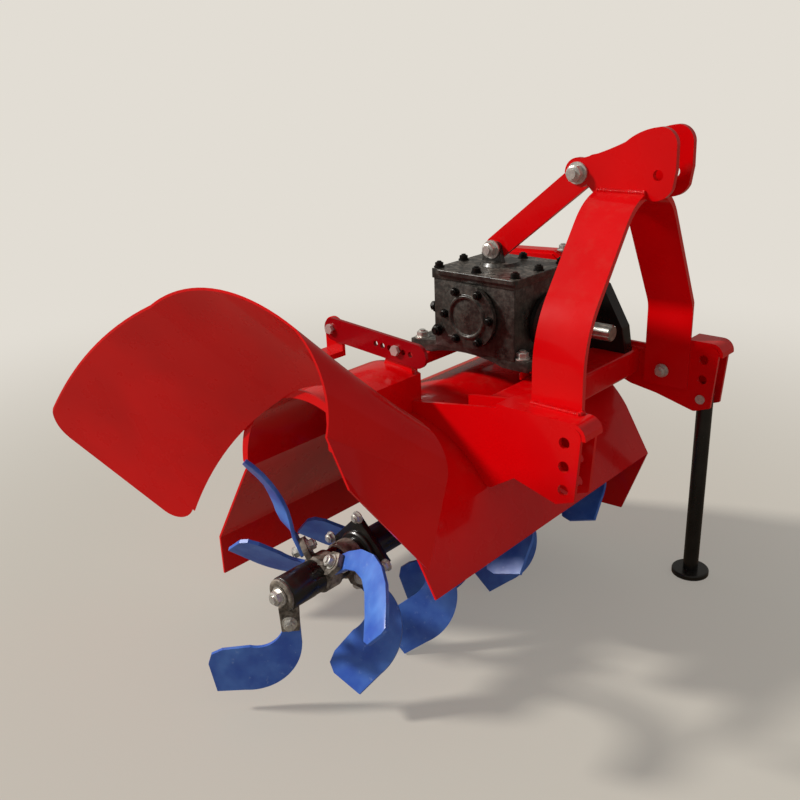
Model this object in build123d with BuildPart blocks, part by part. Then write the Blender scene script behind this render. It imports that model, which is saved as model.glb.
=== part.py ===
from build123d import *
from math import acos, atan2, cos, degrees, hypot, radians, sin, sqrt, tan
import os

# Vine burying machine for a tractor's three-point hitch: a bladed rotor under a rolled hood
# throws soil to the machine's right, through a flared deflector that swings about the rotor.
# Millimetres. +X is forward to the tractor, +Y the machine's left, +Z up, the floor at Z = 0.

# hitch
hitch_x = 556.5
frame_mid_y = 222.5
hitch_z = 560.0
hitch_spread = 578.0
clevis_gap = 43.0
plate_t = 8.0
lower_pin_d = 22.0
hole_pitch = 47.0
hole_count = 3
plate_nose = 35.0
plate_above = 33.0
plate_below = 126.0
plate_corner_r = 18.0
cap_end_z = 12.0

# cross beam between the hitch plates
beam_clear = 5.0
beam_depth = 100.0
beam_height = 60.0
beam_wall = 6.0

# bent mast and its ears, measured from the hitch point
mast_rear = 118.5
mast_width = 104.0
mast_t = 12.0
mast_top = 404.0
mast_skew = 3.9
mast_right_knee = 180.0
mast_right_knee_r = 200.0
mast_left_knee = 118.0
mast_left_knee_r = 70.0
mast_top_right = 86.0
mast_top_left = 77.0
mast_top_r = 130.0
mast_left_foot = -76.0
ear_gap = 56.0
ear_t = 12.0
ear_hole_x = 10.0
ear_hole_z = 437.0
ear_hole_d = 20.0
brace_width = 52.0
brace_t = 12.0
brace_pin_x = -158.0
brace_pin_z = 434.0
brace_low_x = -380.0
brace_low_z = 258.0
brace_bolt_d = 16.0

# rotor
axis_back = 400.0
axis_z = 260.0
tube_d = 68.0
tube_wall = 8.0
rotor_end_y = -655.0
blade_t = 8.0
blade_skew = 45.0
blade_root = 45.0
blade_half = 18.0
blade_gap = 61.0
blade_side = 160.0
blade_width = 100.0
inner_extra = 26.7
ring_flat = 66.0
ring_t = 14.0
lug_t = 12.0
lug_reach = 104.0
hub_r = 50.0
hub_half = 23.0
holder_r = 40.0
cross_y = -560.0
inner_holder_y = -497.0
rotor_bore_clear = 0.05

# hood, measured from the rotor axis
hood_r = 278.0
sheet_t = 5.0
fold_angle = 34.6
apron_x = 292.0
apron_z = 50.0
skirt_x = -355.0
skirt_top_z = -48.0
skirt_low_z = -143.0
hood_near_y = -554.0
hood_step_y = -295.0
hood_far_y = 240.0
raise_start = 143.0
raise_mid_x = -111.0
raise_mid_z = 345.0
raise_end_x = 40.0
raise_end_z = 352.0
guide_out = 14.0

# side case at the far end
case_in_y = 200.0
case_low_r = 95.0

# gearbox, measured from the hitch point
box_x = -353.0
box_z = 142.5
box_len = 208.0
box_near_y = -118.0
box_far_y = 96.0
box_low = 78.0
box_top = 224.0
cover_t = 10.0
base_x0 = -527.0
base_x1 = -228.0
base_t = 24.0
side_cap_d = 142.0
side_cap_t = 14.0
side_rim_d = 92.0
input_z = 111.0
input_cap_d = 124.0
input_cap_len = 36.0
stub_d = 34.9
stub_end = -87.0
stub_clear = 0.05
output_tube_d = 96.0
rail_w = 40.0

# deflector, measured from the rotor axis
defl_near_y = -560.0
defl_out_y = -700.0
defl_t = 5.0
rim_corner_r = 60.0
bar_y = -318.3
bar_t = 8.0
bar_width = 50.0
bar_pin_x = -190.0
bar_pin_z = 415.0
bar_stop_x = 0.0
bar_stop_z = 401.0
bar_bolt_d = 12.0
bar_hole_pitch = 19.0
bar_tail = 60.0
arm_low_z = 355.0
arm_t = 12.0
seat_gap = 0.3
pin_clear = 0.05

# parking stand
stand_d = 36.0
stand_foot_d = 88.0
stand_foot_t = 12.0
stand_head = 26.0

os.makedirs("parts", exist_ok=True)

axis_x = hitch_x - axis_back
clevis_out = clevis_gap / 2 + plate_t
right_mid_y = frame_mid_y - hitch_spread / 2
left_mid_y = frame_mid_y + hitch_spread / 2
right_in_y = right_mid_y + clevis_gap / 2
left_in_y = left_mid_y - clevis_gap / 2
beam_y0 = right_in_y + plate_t
beam_y1 = left_in_y - plate_t
stand_pin_z = hitch_z - (hole_count - 1) * hole_pitch
blade_reach = hood_r - blade_gap
blade_waist = blade_reach - blade_width


def side(y):
    # a plane facing the machine's right at the width y, with X across and Z up
    return Plane.XZ.offset(-y)


def about_axis(y):
    # the same plane with its origin on the rotor axis
    return Plane(origin=(axis_x, y, axis_z), x_dir=(1, 0, 0), z_dir=(0, -1, 0))


def blade_plane(angle, y):
    # the plane of a blade: x runs out along the blade's root, y leans forward and to the side
    a = radians(angle)
    s = radians(blade_skew)
    out = Vector(cos(a), 0, sin(a))
    lean = Vector(sin(a) * sin(s), -cos(s), -cos(a) * sin(s))
    return Plane(origin=(axis_x, y, axis_z), x_dir=out, z_dir=out.cross(lean))


# hitch plates: right pair, left pair
fold_x = hood_r * cos(radians(fold_angle))
fold_z = hood_r * sin(radians(fold_angle))
nose_x = hitch_x + plate_nose
top_z = hitch_z + plate_above
low_z = hitch_z - plate_below
beam_z1 = hitch_z
beam_z0 = hitch_z - beam_height
# the beam lies just in front of the roof
beam_x0 = axis_x + sqrt(hood_r**2 - (beam_z0 - axis_z) ** 2) + beam_clear
beam_x1 = beam_x0 + beam_depth
raise_wall_x = axis_x + raise_end_x

with BuildPart() as right_outer:
    with BuildSketch(side(right_mid_y - clevis_gap / 2)) as s:
        with BuildLine() as l:
            Polyline(
                (raise_wall_x + seat_gap, axis_z + fold_z),
                (axis_x + fold_x, axis_z + fold_z),
                (hitch_x - 108, low_z + 25),
                (hitch_x - 14, low_z),
                (nose_x - 11, low_z + 15),
                (nose_x, top_z),
                (hitch_x - 150, top_z),
                (raise_wall_x + seat_gap, top_z - 34),
                close=True,
            )
        make_face()
        with Locations((axis_x, axis_z)):
            Circle(hood_r + seat_gap / 2, mode=Mode.SUBTRACT)
        fillet(s.vertices().group_by(Axis.Y)[-1].sort_by(Axis.X)[-1], radius=plate_corner_r)
        fillet(s.vertices().group_by(Axis.Y)[0], radius=14)
        with Locations(*[(hitch_x, hitch_z - i * hole_pitch) for i in range(hole_count)]):
            Circle(lower_pin_d / 2, mode=Mode.SUBTRACT)
    extrude(amount=plate_t)
right_outer.part.label = "hitch_plate_right_outer"

with BuildPart() as right_inner:
    with BuildSketch(side(right_in_y + plate_t)) as s:
        with BuildLine() as l:
            Polyline(
                (beam_x1 - 20, beam_z0 - 30),
                (hitch_x - 108, low_z + 25),
                (hitch_x - 14, low_z),
                (nose_x - 11, low_z + 15),
                (nose_x, top_z),
                (beam_x0 + 90, top_z),
                (beam_x0, top_z - 12),
                (beam_x0, beam_z0 + seat_gap),
                close=True,
            )
        make_face()
        fillet(s.vertices().group_by(Axis.Y)[-1].sort_by(Axis.X)[-1], radius=plate_corner_r)
        fillet(s.vertices().group_by(Axis.Y)[0], radius=14)
        with Locations(*[(hitch_x, hitch_z - i * hole_pitch) for i in range(hole_count)]):
            Circle(lower_pin_d / 2, mode=Mode.SUBTRACT)
    extrude(amount=plate_t)
right_inner.part.label = "hitch_plate_right_inner"

with BuildPart() as left_inner:
    with BuildSketch(side(left_in_y)) as s:
        with BuildLine() as l:
            Polyline(
                (beam_x1 - 20, beam_z0 - 30),
                (hitch_x - 108, low_z + 25),
                (hitch_x - 14, low_z),
                (nose_x - 11, low_z + 15),
                (nose_x, top_z),
                (hitch_x - 40, top_z),
                (beam_x1 + 40, beam_z1 + 14),
                (beam_x0, beam_z1 + 14),
                (beam_x0, beam_z0 + seat_gap),
                close=True,
            )
        make_face()
        fillet(s.vertices().group_by(Axis.Y)[-1].sort_by(Axis.X)[-1], radius=plate_corner_r)
        fillet(s.vertices().group_by(Axis.Y)[0], radius=14)
        with Locations(*[(hitch_x, hitch_z - i * hole_pitch) for i in range(hole_count)]):
            Circle(lower_pin_d / 2, mode=Mode.SUBTRACT)
    extrude(amount=plate_t)
left_inner.part.label = "hitch_plate_left_inner"

with BuildPart() as left_outer:
    with BuildSketch(side(left_mid_y + clevis_out)) as s:
        with BuildLine() as l:
            Polyline(
                (hitch_x - 112, low_z + 52),
                (hitch_x - 78, low_z + 17),
                (hitch_x - 14, low_z),
                (nose_x - 11, low_z + 15),
                (nose_x, top_z),
                (hitch_x - 40, top_z),
                (hitch_x - 112, top_z - 40),
                close=True,
            )
        make_face()
        fillet(s.vertices().group_by(Axis.Y)[-1].sort_by(Axis.X)[-1], radius=plate_corner_r)
        fillet(s.vertices().group_by(Axis.Y)[0], radius=14)
        with Locations(*[(hitch_x, hitch_z - i * hole_pitch) for i in range(hole_count)]):
            Circle(lower_pin_d / 2, mode=Mode.SUBTRACT)
    extrude(amount=plate_t)
left_outer.part.label = "hitch_plate_left_outer"

# bent strips that close the top and the front of each pair of plates: name, width, rear end
caps = (("hitch_cap_right", right_mid_y, 150.0), ("hitch_cap_left", left_mid_y, 40.0))
for cap_name, cap_mid_y, cap_rear in caps:
    with BuildPart() as cap:
        with BuildSketch(side(cap_mid_y + clevis_out)) as s:
            with BuildLine() as l:
                FilletPolyline(
                    (hitch_x - cap_rear, top_z),
                    (nose_x, top_z),
                    (nose_x, hitch_z + cap_end_z),
                    radius=plate_corner_r,
                )
                offset(amount=plate_t, side=Side.LEFT)
            make_face()
        extrude(amount=2 * clevis_out)
    cap.part.label = cap_name
    export_step(cap.part, "parts/" + cap_name + ".step")

# cross beam, a rectangular tube
with BuildPart() as beam:
    with BuildSketch(side(beam_y1)) as s:
        with Locations(((beam_x0 + beam_x1) / 2, (beam_z0 + beam_z1) / 2)):
            RectangleRounded(beam_depth, beam_height, 9)
            RectangleRounded(beam_depth - 2 * beam_wall, beam_height - 2 * beam_wall, 3, mode=Mode.SUBTRACT)
    extrude(amount=beam_y1 - beam_y0)
beam.part.label = "front_beam"

# mast: one flat bar bent to an arch, the left leg bolted inside the left plate
mast_x0 = hitch_x - mast_rear
mast_y0 = right_in_y + plate_t - 16
mast_y1 = beam_y1
# the arch stands a little askew: its right leg is further forward than its left one
skew = tan(radians(mast_skew))
mast_plane = Plane(origin=(mast_x0, frame_mid_y, 0), x_dir=(-skew, 1, 0), z_dir=(1, skew, 0))
with BuildPart() as mast:
    with BuildSketch(mast_plane) as s:
        with BuildLine() as l:
            FilletPolyline(
                (mast_y0 - frame_mid_y, top_z + plate_t),
                (mast_y0 - frame_mid_y, hitch_z + mast_right_knee),
                (-mast_top_right, hitch_z + mast_top),
                (mast_top_left, hitch_z + mast_top),
                (mast_y1 - frame_mid_y, hitch_z + mast_left_knee),
                (mast_y1 - frame_mid_y, hitch_z + mast_left_foot),
                radius=[mast_right_knee_r, mast_top_r, mast_top_r, mast_left_knee_r],
            )
            offset(amount=mast_t, side=Side.RIGHT)
        make_face()
    extrude(amount=mast_width)
    # the left leg's outer face lies flat on the plate
    with BuildSketch(Plane.XY) as s1:
        with Locations((hitch_x, mast_y1 + 20)):
            Rectangle(600, 40)
    extrude(amount=hitch_z + mast_top, mode=Mode.SUBTRACT)
mast.part.label = "mast_arch"

# ears for the upper link
ear_x = hitch_x + ear_hole_x
ear_z = hitch_z + ear_hole_z
ear_front = mast_width - mast_rear
ear_tip_z = mast_top + 118
ear_waist = (-58, mast_top + 91)
lobe_r = 29.0
lobe_low = (brace_pin_x + lobe_r * cos(radians(-45)), brace_pin_z + lobe_r * sin(radians(-45)))
lobe_top = (brace_pin_x + lobe_r * cos(radians(75)), brace_pin_z + lobe_r * sin(radians(75)))
ear_low = lobe_low[0] + lobe_low[1] + mast_rear
ear_edge = (
    (lobe_low, (-mast_rear, ear_low)),
    ((-mast_rear, ear_low), (ear_front, ear_low)),
    ((ear_front, ear_low), (ear_hole_x + 5, mast_top - 12), (ear_hole_x + 29, mast_top + 10)),
    ((ear_hole_x + 29, mast_top + 10), (ear_hole_x + 34, mast_top + 44)),
    ((ear_hole_x + 34, mast_top + 44), (ear_hole_x + 33, ear_tip_z - 33)),
    ((ear_hole_x + 33, ear_tip_z - 33), (ear_hole_x + 21, ear_tip_z - 7), (ear_hole_x - 3, ear_tip_z)),
    ((ear_hole_x - 3, ear_tip_z), (ear_hole_x - 20, ear_tip_z - 3), ear_waist),
    (ear_waist, (-104, mast_top + 72), lobe_top),
    (lobe_top, (brace_pin_x - lobe_r, brace_pin_z), lobe_low),
)
ears = (("mast_ear_right", frame_mid_y - ear_gap / 2), ("mast_ear_left", frame_mid_y + ear_gap / 2 + ear_t))
for ear_name, ear_y in ears:
    with BuildPart() as ear:
        with BuildSketch(side(ear_y)) as s:
            # edge of the ear from the mast's front corner round the hole, over the top and
            # round the brace's bolt, about the hitch point
            with BuildLine() as l:
                for way in ear_edge:
                    points = [(hitch_x + x, hitch_z + z) for x, z in way]
                    if len(points) == 2:
                        Line(*points)
                    else:
                        ThreePointArc(*points)
            make_face()
            with Locations((ear_x, ear_z)):
                Circle(ear_hole_d / 2, mode=Mode.SUBTRACT)
            with Locations((hitch_x + brace_pin_x, hitch_z + brace_pin_z)):
                Circle(brace_bolt_d / 2, mode=Mode.SUBTRACT)
        extrude(amount=ear_t)
        add(mast.part, mode=Mode.SUBTRACT)
        rest = ear.part.solids().sort_by(SortBy.VOLUME)[:-1]
        for piece in rest:
            add(piece, mode=Mode.SUBTRACT)
    ear.part.label = ear_name
    export_step(ear.part, "parts/" + ear_name + ".step")

# brace from the ears down to the gearbox cover
brace_run = hypot(brace_pin_x - brace_low_x, brace_pin_z - brace_low_z)
brace_tilt = degrees(atan2(brace_pin_z - brace_low_z, brace_pin_x - brace_low_x))
brace_mid = ((brace_pin_x + brace_low_x) / 2, (brace_pin_z + brace_low_z) / 2)
with BuildPart() as brace:
    with BuildSketch(side(frame_mid_y + brace_t / 2)) as s:
        with Locations(Location((hitch_x + brace_mid[0], hitch_z + brace_mid[1]), brace_tilt)):
            SlotCenterToCenter(brace_run, brace_width)
        pin_spots = [(hitch_x + x, hitch_z + z) for x, z in ((brace_pin_x, brace_pin_z), (brace_low_x, brace_low_z))]
        with Locations(*pin_spots):
            Circle(brace_bolt_d / 2, mode=Mode.SUBTRACT)
    extrude(amount=brace_t)
    with BuildSketch(side(frame_mid_y + ear_gap / 2)) as s2:
        with Locations((hitch_x + brace_pin_x, hitch_z + brace_pin_z)):
            Circle(brace_bolt_d)
            Circle(brace_bolt_d / 2, mode=Mode.SUBTRACT)
    extrude(amount=ear_gap)
brace.part.label = "mast_brace"

# hood profile about the rotor axis: apron, rolled roof, sloping rear sheet, upright skirt
skirt_far = hypot(skirt_x, skirt_top_z)
tangent_angle = degrees(atan2(skirt_top_z, skirt_x)) % 360 - degrees(acos(hood_r / skirt_far))
tan_x = hood_r * cos(radians(tangent_angle))
tan_z = hood_r * sin(radians(tangent_angle))
mid_roof = (fold_angle + tangent_angle) / 2
main_y0 = frame_mid_y + hood_step_y
main_y1 = frame_mid_y + hood_far_y - sheet_t
near_y0 = frame_mid_y + hood_near_y

# side case: carries the drive from the gearbox down to the rotor
case_y0 = frame_mid_y + case_in_y
case_y1 = main_y1
case_top = hitch_z + box_top - 5
with BuildPart() as case:
    with BuildSketch(side(case_y1)) as s:
        with BuildLine() as l:
            Polyline(
                (axis_x - case_low_r, axis_z),
                (axis_x + case_low_r, axis_z),
                (beam_x0 - seat_gap, beam_z0 - 40),
                (beam_x0 - seat_gap, beam_z1),
                (beam_x1 - 8, beam_z1),
                (beam_x1 - 18, beam_z1 + 59),
                (hitch_x - 226, hitch_z + 151),
                (hitch_x - 362, case_top),
                (hitch_x - 500, case_top - 6),
                (hitch_x - 535, hitch_z + 60),
                (hitch_x - 535, hitch_z - 60),
                close=True,
            )
        make_face()
        with Locations((axis_x, axis_z)):
            Circle(case_low_r)
        with Locations((axis_x, axis_z)):
            Circle(tube_d / 2 - tube_wall + rotor_bore_clear, mode=Mode.SUBTRACT)
    extrude(amount=case_y1 - case_y0)
case.part.label = "side_case"

with BuildPart() as hood_main:
    with BuildSketch(about_axis(main_y1)) as s:
        with BuildLine() as l:
            Line((apron_x, apron_z), (fold_x, fold_z))
            ThreePointArc(
                (fold_x, fold_z),
                (hood_r * cos(radians(mid_roof)), hood_r * sin(radians(mid_roof))),
                (tan_x, tan_z),
            )
            Line((tan_x, tan_z), (skirt_x, skirt_top_z))
            Line((skirt_x, skirt_top_z), (skirt_x, skirt_low_z))
            offset(amount=sheet_t, side=Side.LEFT)
        make_face()
    extrude(amount=main_y1 - main_y0)
    # the side case stands through the roof at the far end
    add(case.part, mode=Mode.SUBTRACT)
hood_main.part.label = "hood_main"

# near end of the hood: the sheet rises off the roof to a wall over the rotor
rise_x = hood_r * cos(radians(raise_start))
rise_z = hood_r * sin(radians(raise_start))
wall_low_z = sqrt(hood_r**2 - raise_end_x**2)
wall_angle = degrees(atan2(wall_low_z, raise_end_x))
front_mid = (fold_angle + wall_angle) / 2
with BuildPart() as hood_near:
    with BuildSketch(about_axis(main_y0)) as s:
        with BuildLine() as l:
            Line((apron_x, apron_z), (fold_x, fold_z))
            ThreePointArc(
                (fold_x, fold_z),
                (hood_r * cos(radians(front_mid)), hood_r * sin(radians(front_mid))),
                (raise_end_x, wall_low_z),
            )
            Line((raise_end_x, wall_low_z), (raise_end_x, raise_end_z))
            ThreePointArc((raise_end_x, raise_end_z), (raise_mid_x, raise_mid_z), (rise_x, rise_z))
            ThreePointArc(
                (rise_x, rise_z),
                (
                    hood_r * cos(radians((raise_start + tangent_angle) / 2)),
                    hood_r * sin(radians((raise_start + tangent_angle) / 2)),
                ),
                (tan_x, tan_z),
            )
            Line((tan_x, tan_z), (skirt_x, skirt_top_z))
            Line((skirt_x, skirt_top_z), (skirt_x, skirt_low_z))
            offset(amount=sheet_t, side=Side.LEFT)
        make_face()
    extrude(amount=main_y0 - near_y0)
    # step plate that closes the raised sheet against the roof
    with BuildSketch(about_axis(main_y0 + sheet_t)) as s2:
        with BuildLine() as l2:
            Line((raise_end_x, wall_low_z), (raise_end_x, raise_end_z))
            ThreePointArc((raise_end_x, raise_end_z), (raise_mid_x, raise_mid_z), (rise_x, rise_z))
            Line((rise_x, rise_z), (0, hood_r / 2))
            Line((0, hood_r / 2), (raise_end_x, wall_low_z))
        make_face()
        Circle(hood_r, mode=Mode.SUBTRACT)
    extrude(amount=sheet_t)
hood_near.part.label = "hood_near"

# flange on the near edge that the deflector's neck runs beside
with BuildPart() as guide:
    with BuildSketch(about_axis(near_y0 + sheet_t)) as s:
        with BuildLine() as l:
            Line((rise_x, rise_z), (rise_x - guide_out * 0.8, rise_z + guide_out * 0.6))
            ThreePointArc(
                (rise_x - guide_out * 0.8, rise_z + guide_out * 0.6),
                (raise_mid_x - guide_out * 0.4, raise_mid_z + guide_out * 0.9),
                (raise_end_x, raise_end_z + guide_out * 0.95),
            )
            Line((raise_end_x, raise_end_z + guide_out * 0.95), (raise_end_x, raise_end_z))
            ThreePointArc((raise_end_x, raise_end_z), (raise_mid_x, raise_mid_z), (rise_x, rise_z))
        make_face()
    extrude(amount=sheet_t)
guide.part.label = "hood_guide_flange"

# far side plate under the roof, with a notch for the cross beam
with BuildPart() as side_plate:
    with BuildSketch(about_axis(main_y1 + sheet_t)) as s:
        with BuildLine() as l:
            Line((fold_x, fold_z), (apron_x, apron_z))
            Line((apron_x, apron_z), (apron_x - 60, skirt_low_z + 30))
            Line((apron_x - 60, skirt_low_z + 30), (skirt_x, skirt_low_z))
            Line((skirt_x, skirt_low_z), (skirt_x, skirt_top_z))
            Line((skirt_x, skirt_top_z), (tan_x, tan_z))
            ThreePointArc(
                (tan_x, tan_z),
                (hood_r * cos(radians(mid_roof)), hood_r * sin(radians(mid_roof))),
                (fold_x, fold_z),
            )
        make_face()
    extrude(amount=sheet_t)
side_plate.part.label = "hood_side_plate"

plate_cover_t = 6.0
with BuildPart() as case_cover:
    with BuildSketch(side(case_y0)) as s:
        with BuildLine() as l:
            Polyline(
                (hitch_x - 500, hitch_z + 70),
                (hitch_x - 344, hitch_z + 70),
                (hitch_x - 326, hitch_z + 180),
                (hitch_x - 362, case_top - 8),
                (hitch_x - 490, case_top - 14),
                close=True,
            )
        make_face()
    extrude(amount=plate_cover_t)
case_cover.part.label = "side_case_cover"

# gearbox
box_y0 = frame_mid_y + box_near_y
box_y1 = frame_mid_y + box_far_y
box_cx = hitch_x + box_x
box_cz = hitch_z + box_z
base_low = hitch_z + box_low - base_t
with BuildPart() as gearbox:
    with BuildSketch(Plane.XY.offset(hitch_z + box_low)) as s:
        with Locations((box_cx, (box_y0 + box_y1) / 2)):
            RectangleRounded(box_len, box_y1 - box_y0, 10)
    extrude(amount=box_top - box_low - cover_t)
    with BuildSketch(Plane.XY.offset(base_low)) as s2:
        with Locations((hitch_x + (base_x0 + base_x1) / 2, (box_y0 + box_y1) / 2)):
            RectangleRounded(base_x1 - base_x0, box_y1 - box_y0 - 10, 14)
    extrude(amount=base_t)
    # the base is arched between its feet
    foot_x0 = hitch_x + base_x0 + rail_w + 14
    foot_x1 = hitch_x + base_x1 - 42
    with BuildSketch(side(box_y1 + 5)) as s3:
        with BuildLine() as l3:
            ThreePointArc((foot_x0, base_low), ((foot_x0 + foot_x1) / 2, base_low + 13), (foot_x1, base_low))
            Line((foot_x1, base_low), (foot_x0, base_low))
        make_face()
    extrude(amount=box_y1 - box_y0 + 10, mode=Mode.SUBTRACT)
gearbox.part.label = "gearbox_case"

with BuildPart() as cover:
    with BuildSketch(Plane.XY.offset(hitch_z + box_top - cover_t)) as s:
        with Locations((box_cx, (box_y0 + box_y1) / 2)):
            RectangleRounded(box_len + 5, box_y1 - box_y0 + 5, 11)
    extrude(amount=cover_t)
    fillet(cover.edges().group_by(Axis.Z)[-1], radius=2.5)
    with BuildSketch(Plane.XY.offset(hitch_z + box_top)) as s1:
        with Locations((hitch_x + brace_low_x + 10, frame_mid_y)):
            Circle(46)
    extrude(amount=7, taper=30)
    lug_y = frame_mid_y - brace_t / 2
    with BuildSketch(side(lug_y)) as s2:
        with BuildLine() as l:
            Polyline(
                (hitch_x + brace_low_x - 30, hitch_z + box_top - 4),
                (hitch_x + brace_low_x + 30, hitch_z + box_top - 4),
                (hitch_x + brace_low_x + 16, hitch_z + brace_low_z + 16),
                (hitch_x + brace_low_x - 16, hitch_z + brace_low_z + 16),
                close=True,
            )
        make_face()
        fillet(s2.vertices().sort_by(Axis.Y)[-2:], radius=12)
        with Locations((hitch_x + brace_low_x, hitch_z + brace_low_z)):
            Circle(brace_bolt_d / 2, mode=Mode.SUBTRACT)
    extrude(amount=brace_t)
cover.part.label = "gearbox_cover"

# turned cap on the near side: a flange, a raised rim and a domed middle
side_cap_plane = Plane(origin=(box_cx, box_y0, box_cz), x_dir=(1, 0, 0), z_dir=(0, 0, -1))
with BuildPart() as side_cap:
    with BuildSketch(side_cap_plane) as s:
        with BuildLine() as l:
            Polyline(
                (0, 0),
                (side_cap_d / 2, 0),
                (side_cap_d / 2, side_cap_t - 9),
                (side_cap_d / 2 - 3, side_cap_t - 6),
                (side_rim_d / 2 + 6, side_cap_t - 6),
                (side_rim_d / 2, side_cap_t),
                (side_rim_d / 2 - 4, side_cap_t),
                (side_rim_d / 2 - 8, side_cap_t - 5),
                (side_rim_d / 4, side_cap_t - 1.5),
                (side_rim_d / 10, side_cap_t - 0.5),
                (0, side_cap_t - 0.5),
                close=True,
            )
        make_face()
    revolve(axis=Axis((box_cx, box_y0, box_cz), (0, -1, 0)))
side_cap.part.label = "gearbox_side_cap"

# input side of the gearbox: a turned cap round the power take-off stub
cap_x = box_cx + box_len / 2
in_z = hitch_z + input_z
with BuildPart() as in_cap:
    with BuildSketch(Plane.XZ.offset(-frame_mid_y)) as s:
        with BuildLine() as l:
            Polyline(
                (cap_x, in_z + stub_d / 2 + stub_clear),
                (cap_x + input_cap_len, in_z + stub_d / 2 + stub_clear),
                (cap_x + input_cap_len, in_z + input_cap_d * 0.30),
                (cap_x + input_cap_len - 12, in_z + input_cap_d * 0.42),
                (cap_x + 10, in_z + input_cap_d / 2),
                (cap_x, in_z + input_cap_d / 2),
                close=True,
            )
        make_face()
    revolve(axis=Axis((0, frame_mid_y, in_z), (1, 0, 0)))
    # the flange is trimmed level with the base
    with BuildSketch(Plane.XY.offset(hitch_z + box_low)) as s2:
        with Locations((cap_x + input_cap_len / 2, frame_mid_y)):
            Rectangle(input_cap_len + 2, input_cap_d + 2)
    extrude(amount=-input_cap_d, mode=Mode.SUBTRACT)
in_cap.part.label = "gearbox_input_cap"

spline_count = 6
spline_len = 75.0
spline_root_d = 30.0
spline_gap_w = 9.4
stub_x0 = cap_x + seat_gap
stub_x1 = hitch_x + stub_end
with BuildPart() as stub:
    with BuildSketch(Plane(origin=(stub_x0, frame_mid_y, in_z), x_dir=(0, 1, 0), z_dir=(1, 0, 0))) as s:
        Circle(stub_d / 2)
    extrude(amount=stub_x1 - stub_x0)
    chamfer(stub.edges().sort_by(Axis.X)[-1], length=2.5)
    with BuildSketch(Plane(origin=(stub_x1, frame_mid_y, in_z), x_dir=(0, 1, 0), z_dir=(1, 0, 0))) as s2:
        with PolarLocations((spline_root_d + stub_d) / 4, spline_count):
            Rectangle((stub_d - spline_root_d) / 2 + 0.01, spline_gap_w)
        Circle(spline_root_d / 2, mode=Mode.SUBTRACT)
    extrude(amount=-spline_len, mode=Mode.SUBTRACT)
stub.part.label = "pto_stub"

# output tube from the gearbox across to the side case
with BuildPart() as out_tube:
    with BuildSketch(side(case_y0 - plate_cover_t)) as s:
        with Locations((box_cx, box_cz)):
            Circle(output_tube_d / 2)
    extrude(amount=case_y0 - plate_cover_t - box_y1)
out_tube.part.label = "output_tube"

# rails under the gearbox base
with BuildPart() as rail_front:
    with BuildSketch(Plane.XY.offset(beam_z1)) as s:
        with Locations((hitch_x + base_x1 - 12 + 4, (box_y0 + box_y1) / 2)):
            Rectangle(rail_w, box_y1 - box_y0 + 20)
    extrude(amount=base_low - beam_z1)
rail_front.part.label = "rail_front"

rail_y0 = frame_mid_y - 165.0
with BuildPart() as rail_rear:
    with BuildSketch(Plane.XY.offset(beam_z1)) as s:
        with Locations((hitch_x + base_x0 + rail_w / 2, (rail_y0 + case_y0) / 2)):
            Rectangle(rail_w, case_y0 - rail_y0)
    extrude(amount=base_low - beam_z1)
    with BuildSketch(side(rail_y0 + 14)) as s2:
        with Locations((hitch_x + base_x0 + rail_w / 2, beam_z1 - 40)):
            Rectangle(rail_w, 80)
        with Locations((axis_x, axis_z)):
            Circle(hood_r, mode=Mode.SUBTRACT)
    extrude(amount=14)
rail_rear.part.label = "rail_rear"

# bracket on the raised sheet that holds the stop of the adjusting bar
bar_y0 = frame_mid_y + bar_y
bar_y1 = bar_y0 + bar_t
bracket_y = bar_y1 + seat_gap
with BuildPart() as bracket:
    with BuildSketch(about_axis(bracket_y + plate_t)) as s:
        with BuildLine() as l:
            Polyline(
                (-44, hood_r),
                (34, hood_r),
                (34, raise_end_z + 8),
                (22, bar_stop_z + 18),
                (-22, bar_stop_z + 18),
                (-44, raise_end_z + 8),
                close=True,
            )
        make_face()
        with BuildLine() as l2:
            Line((raise_end_x, 0), (raise_end_x, raise_end_z))
            ThreePointArc((raise_end_x, raise_end_z), (raise_mid_x, raise_mid_z), (rise_x, rise_z))
            Line((rise_x, rise_z), (raise_end_x, 0))
        make_face(mode=Mode.SUBTRACT)
    extrude(amount=plate_t)
bracket.part.label = "link_bracket"

# rotor
end_y = frame_mid_y + rotor_end_y
with BuildPart() as rotor_tube:
    with BuildSketch(about_axis(case_y0 - 2)) as s1:
        Circle(tube_d / 2)
    extrude(s1.sketch, amount=case_y0 - 2 - end_y)
    with BuildSketch(about_axis(case_y0 + 28)) as s2:
        Circle(tube_d / 2 - tube_wall)
    extrude(s2.sketch, amount=30)
rotor_tube.part.label = "rotor_tube"


# blades: flat forged hooks, bolted to slanted lugs so that they throw to the machine's right
def blade_outline(extra):
    # root, outer curve, square end, inner curve
    e = extra
    with BuildLine() as edge:
        Line((blade_root, blade_half), (86, blade_half))
        ThreePointArc((86, blade_half), (blade_waist - 7 + e * 0.6, 37), (blade_waist + e, 85))
        Line((blade_waist + e, 85), (blade_waist + 2 + e, blade_side - 20))
        Line((blade_waist + 2 + e, blade_side - 20), (blade_waist + 11 + e, blade_side + 2))
        Line((blade_waist + 11 + e, blade_side + 2), (blade_waist + 32 + e, blade_side + 10))
        Line((blade_waist + 32 + e, blade_side + 10), (blade_reach - 2 + e, blade_side))
        Line((blade_reach - 2 + e, blade_side), (blade_reach + e, 104))
        ThreePointArc((blade_reach + e, 104), (blade_reach - 31 + e, 13), (blade_waist + 3 + e, -blade_half))
        Line((blade_waist + 3 + e, -blade_half), (blade_root, -blade_half))
        Line((blade_root, -blade_half), (blade_root, blade_half))
    return edge.line


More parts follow.
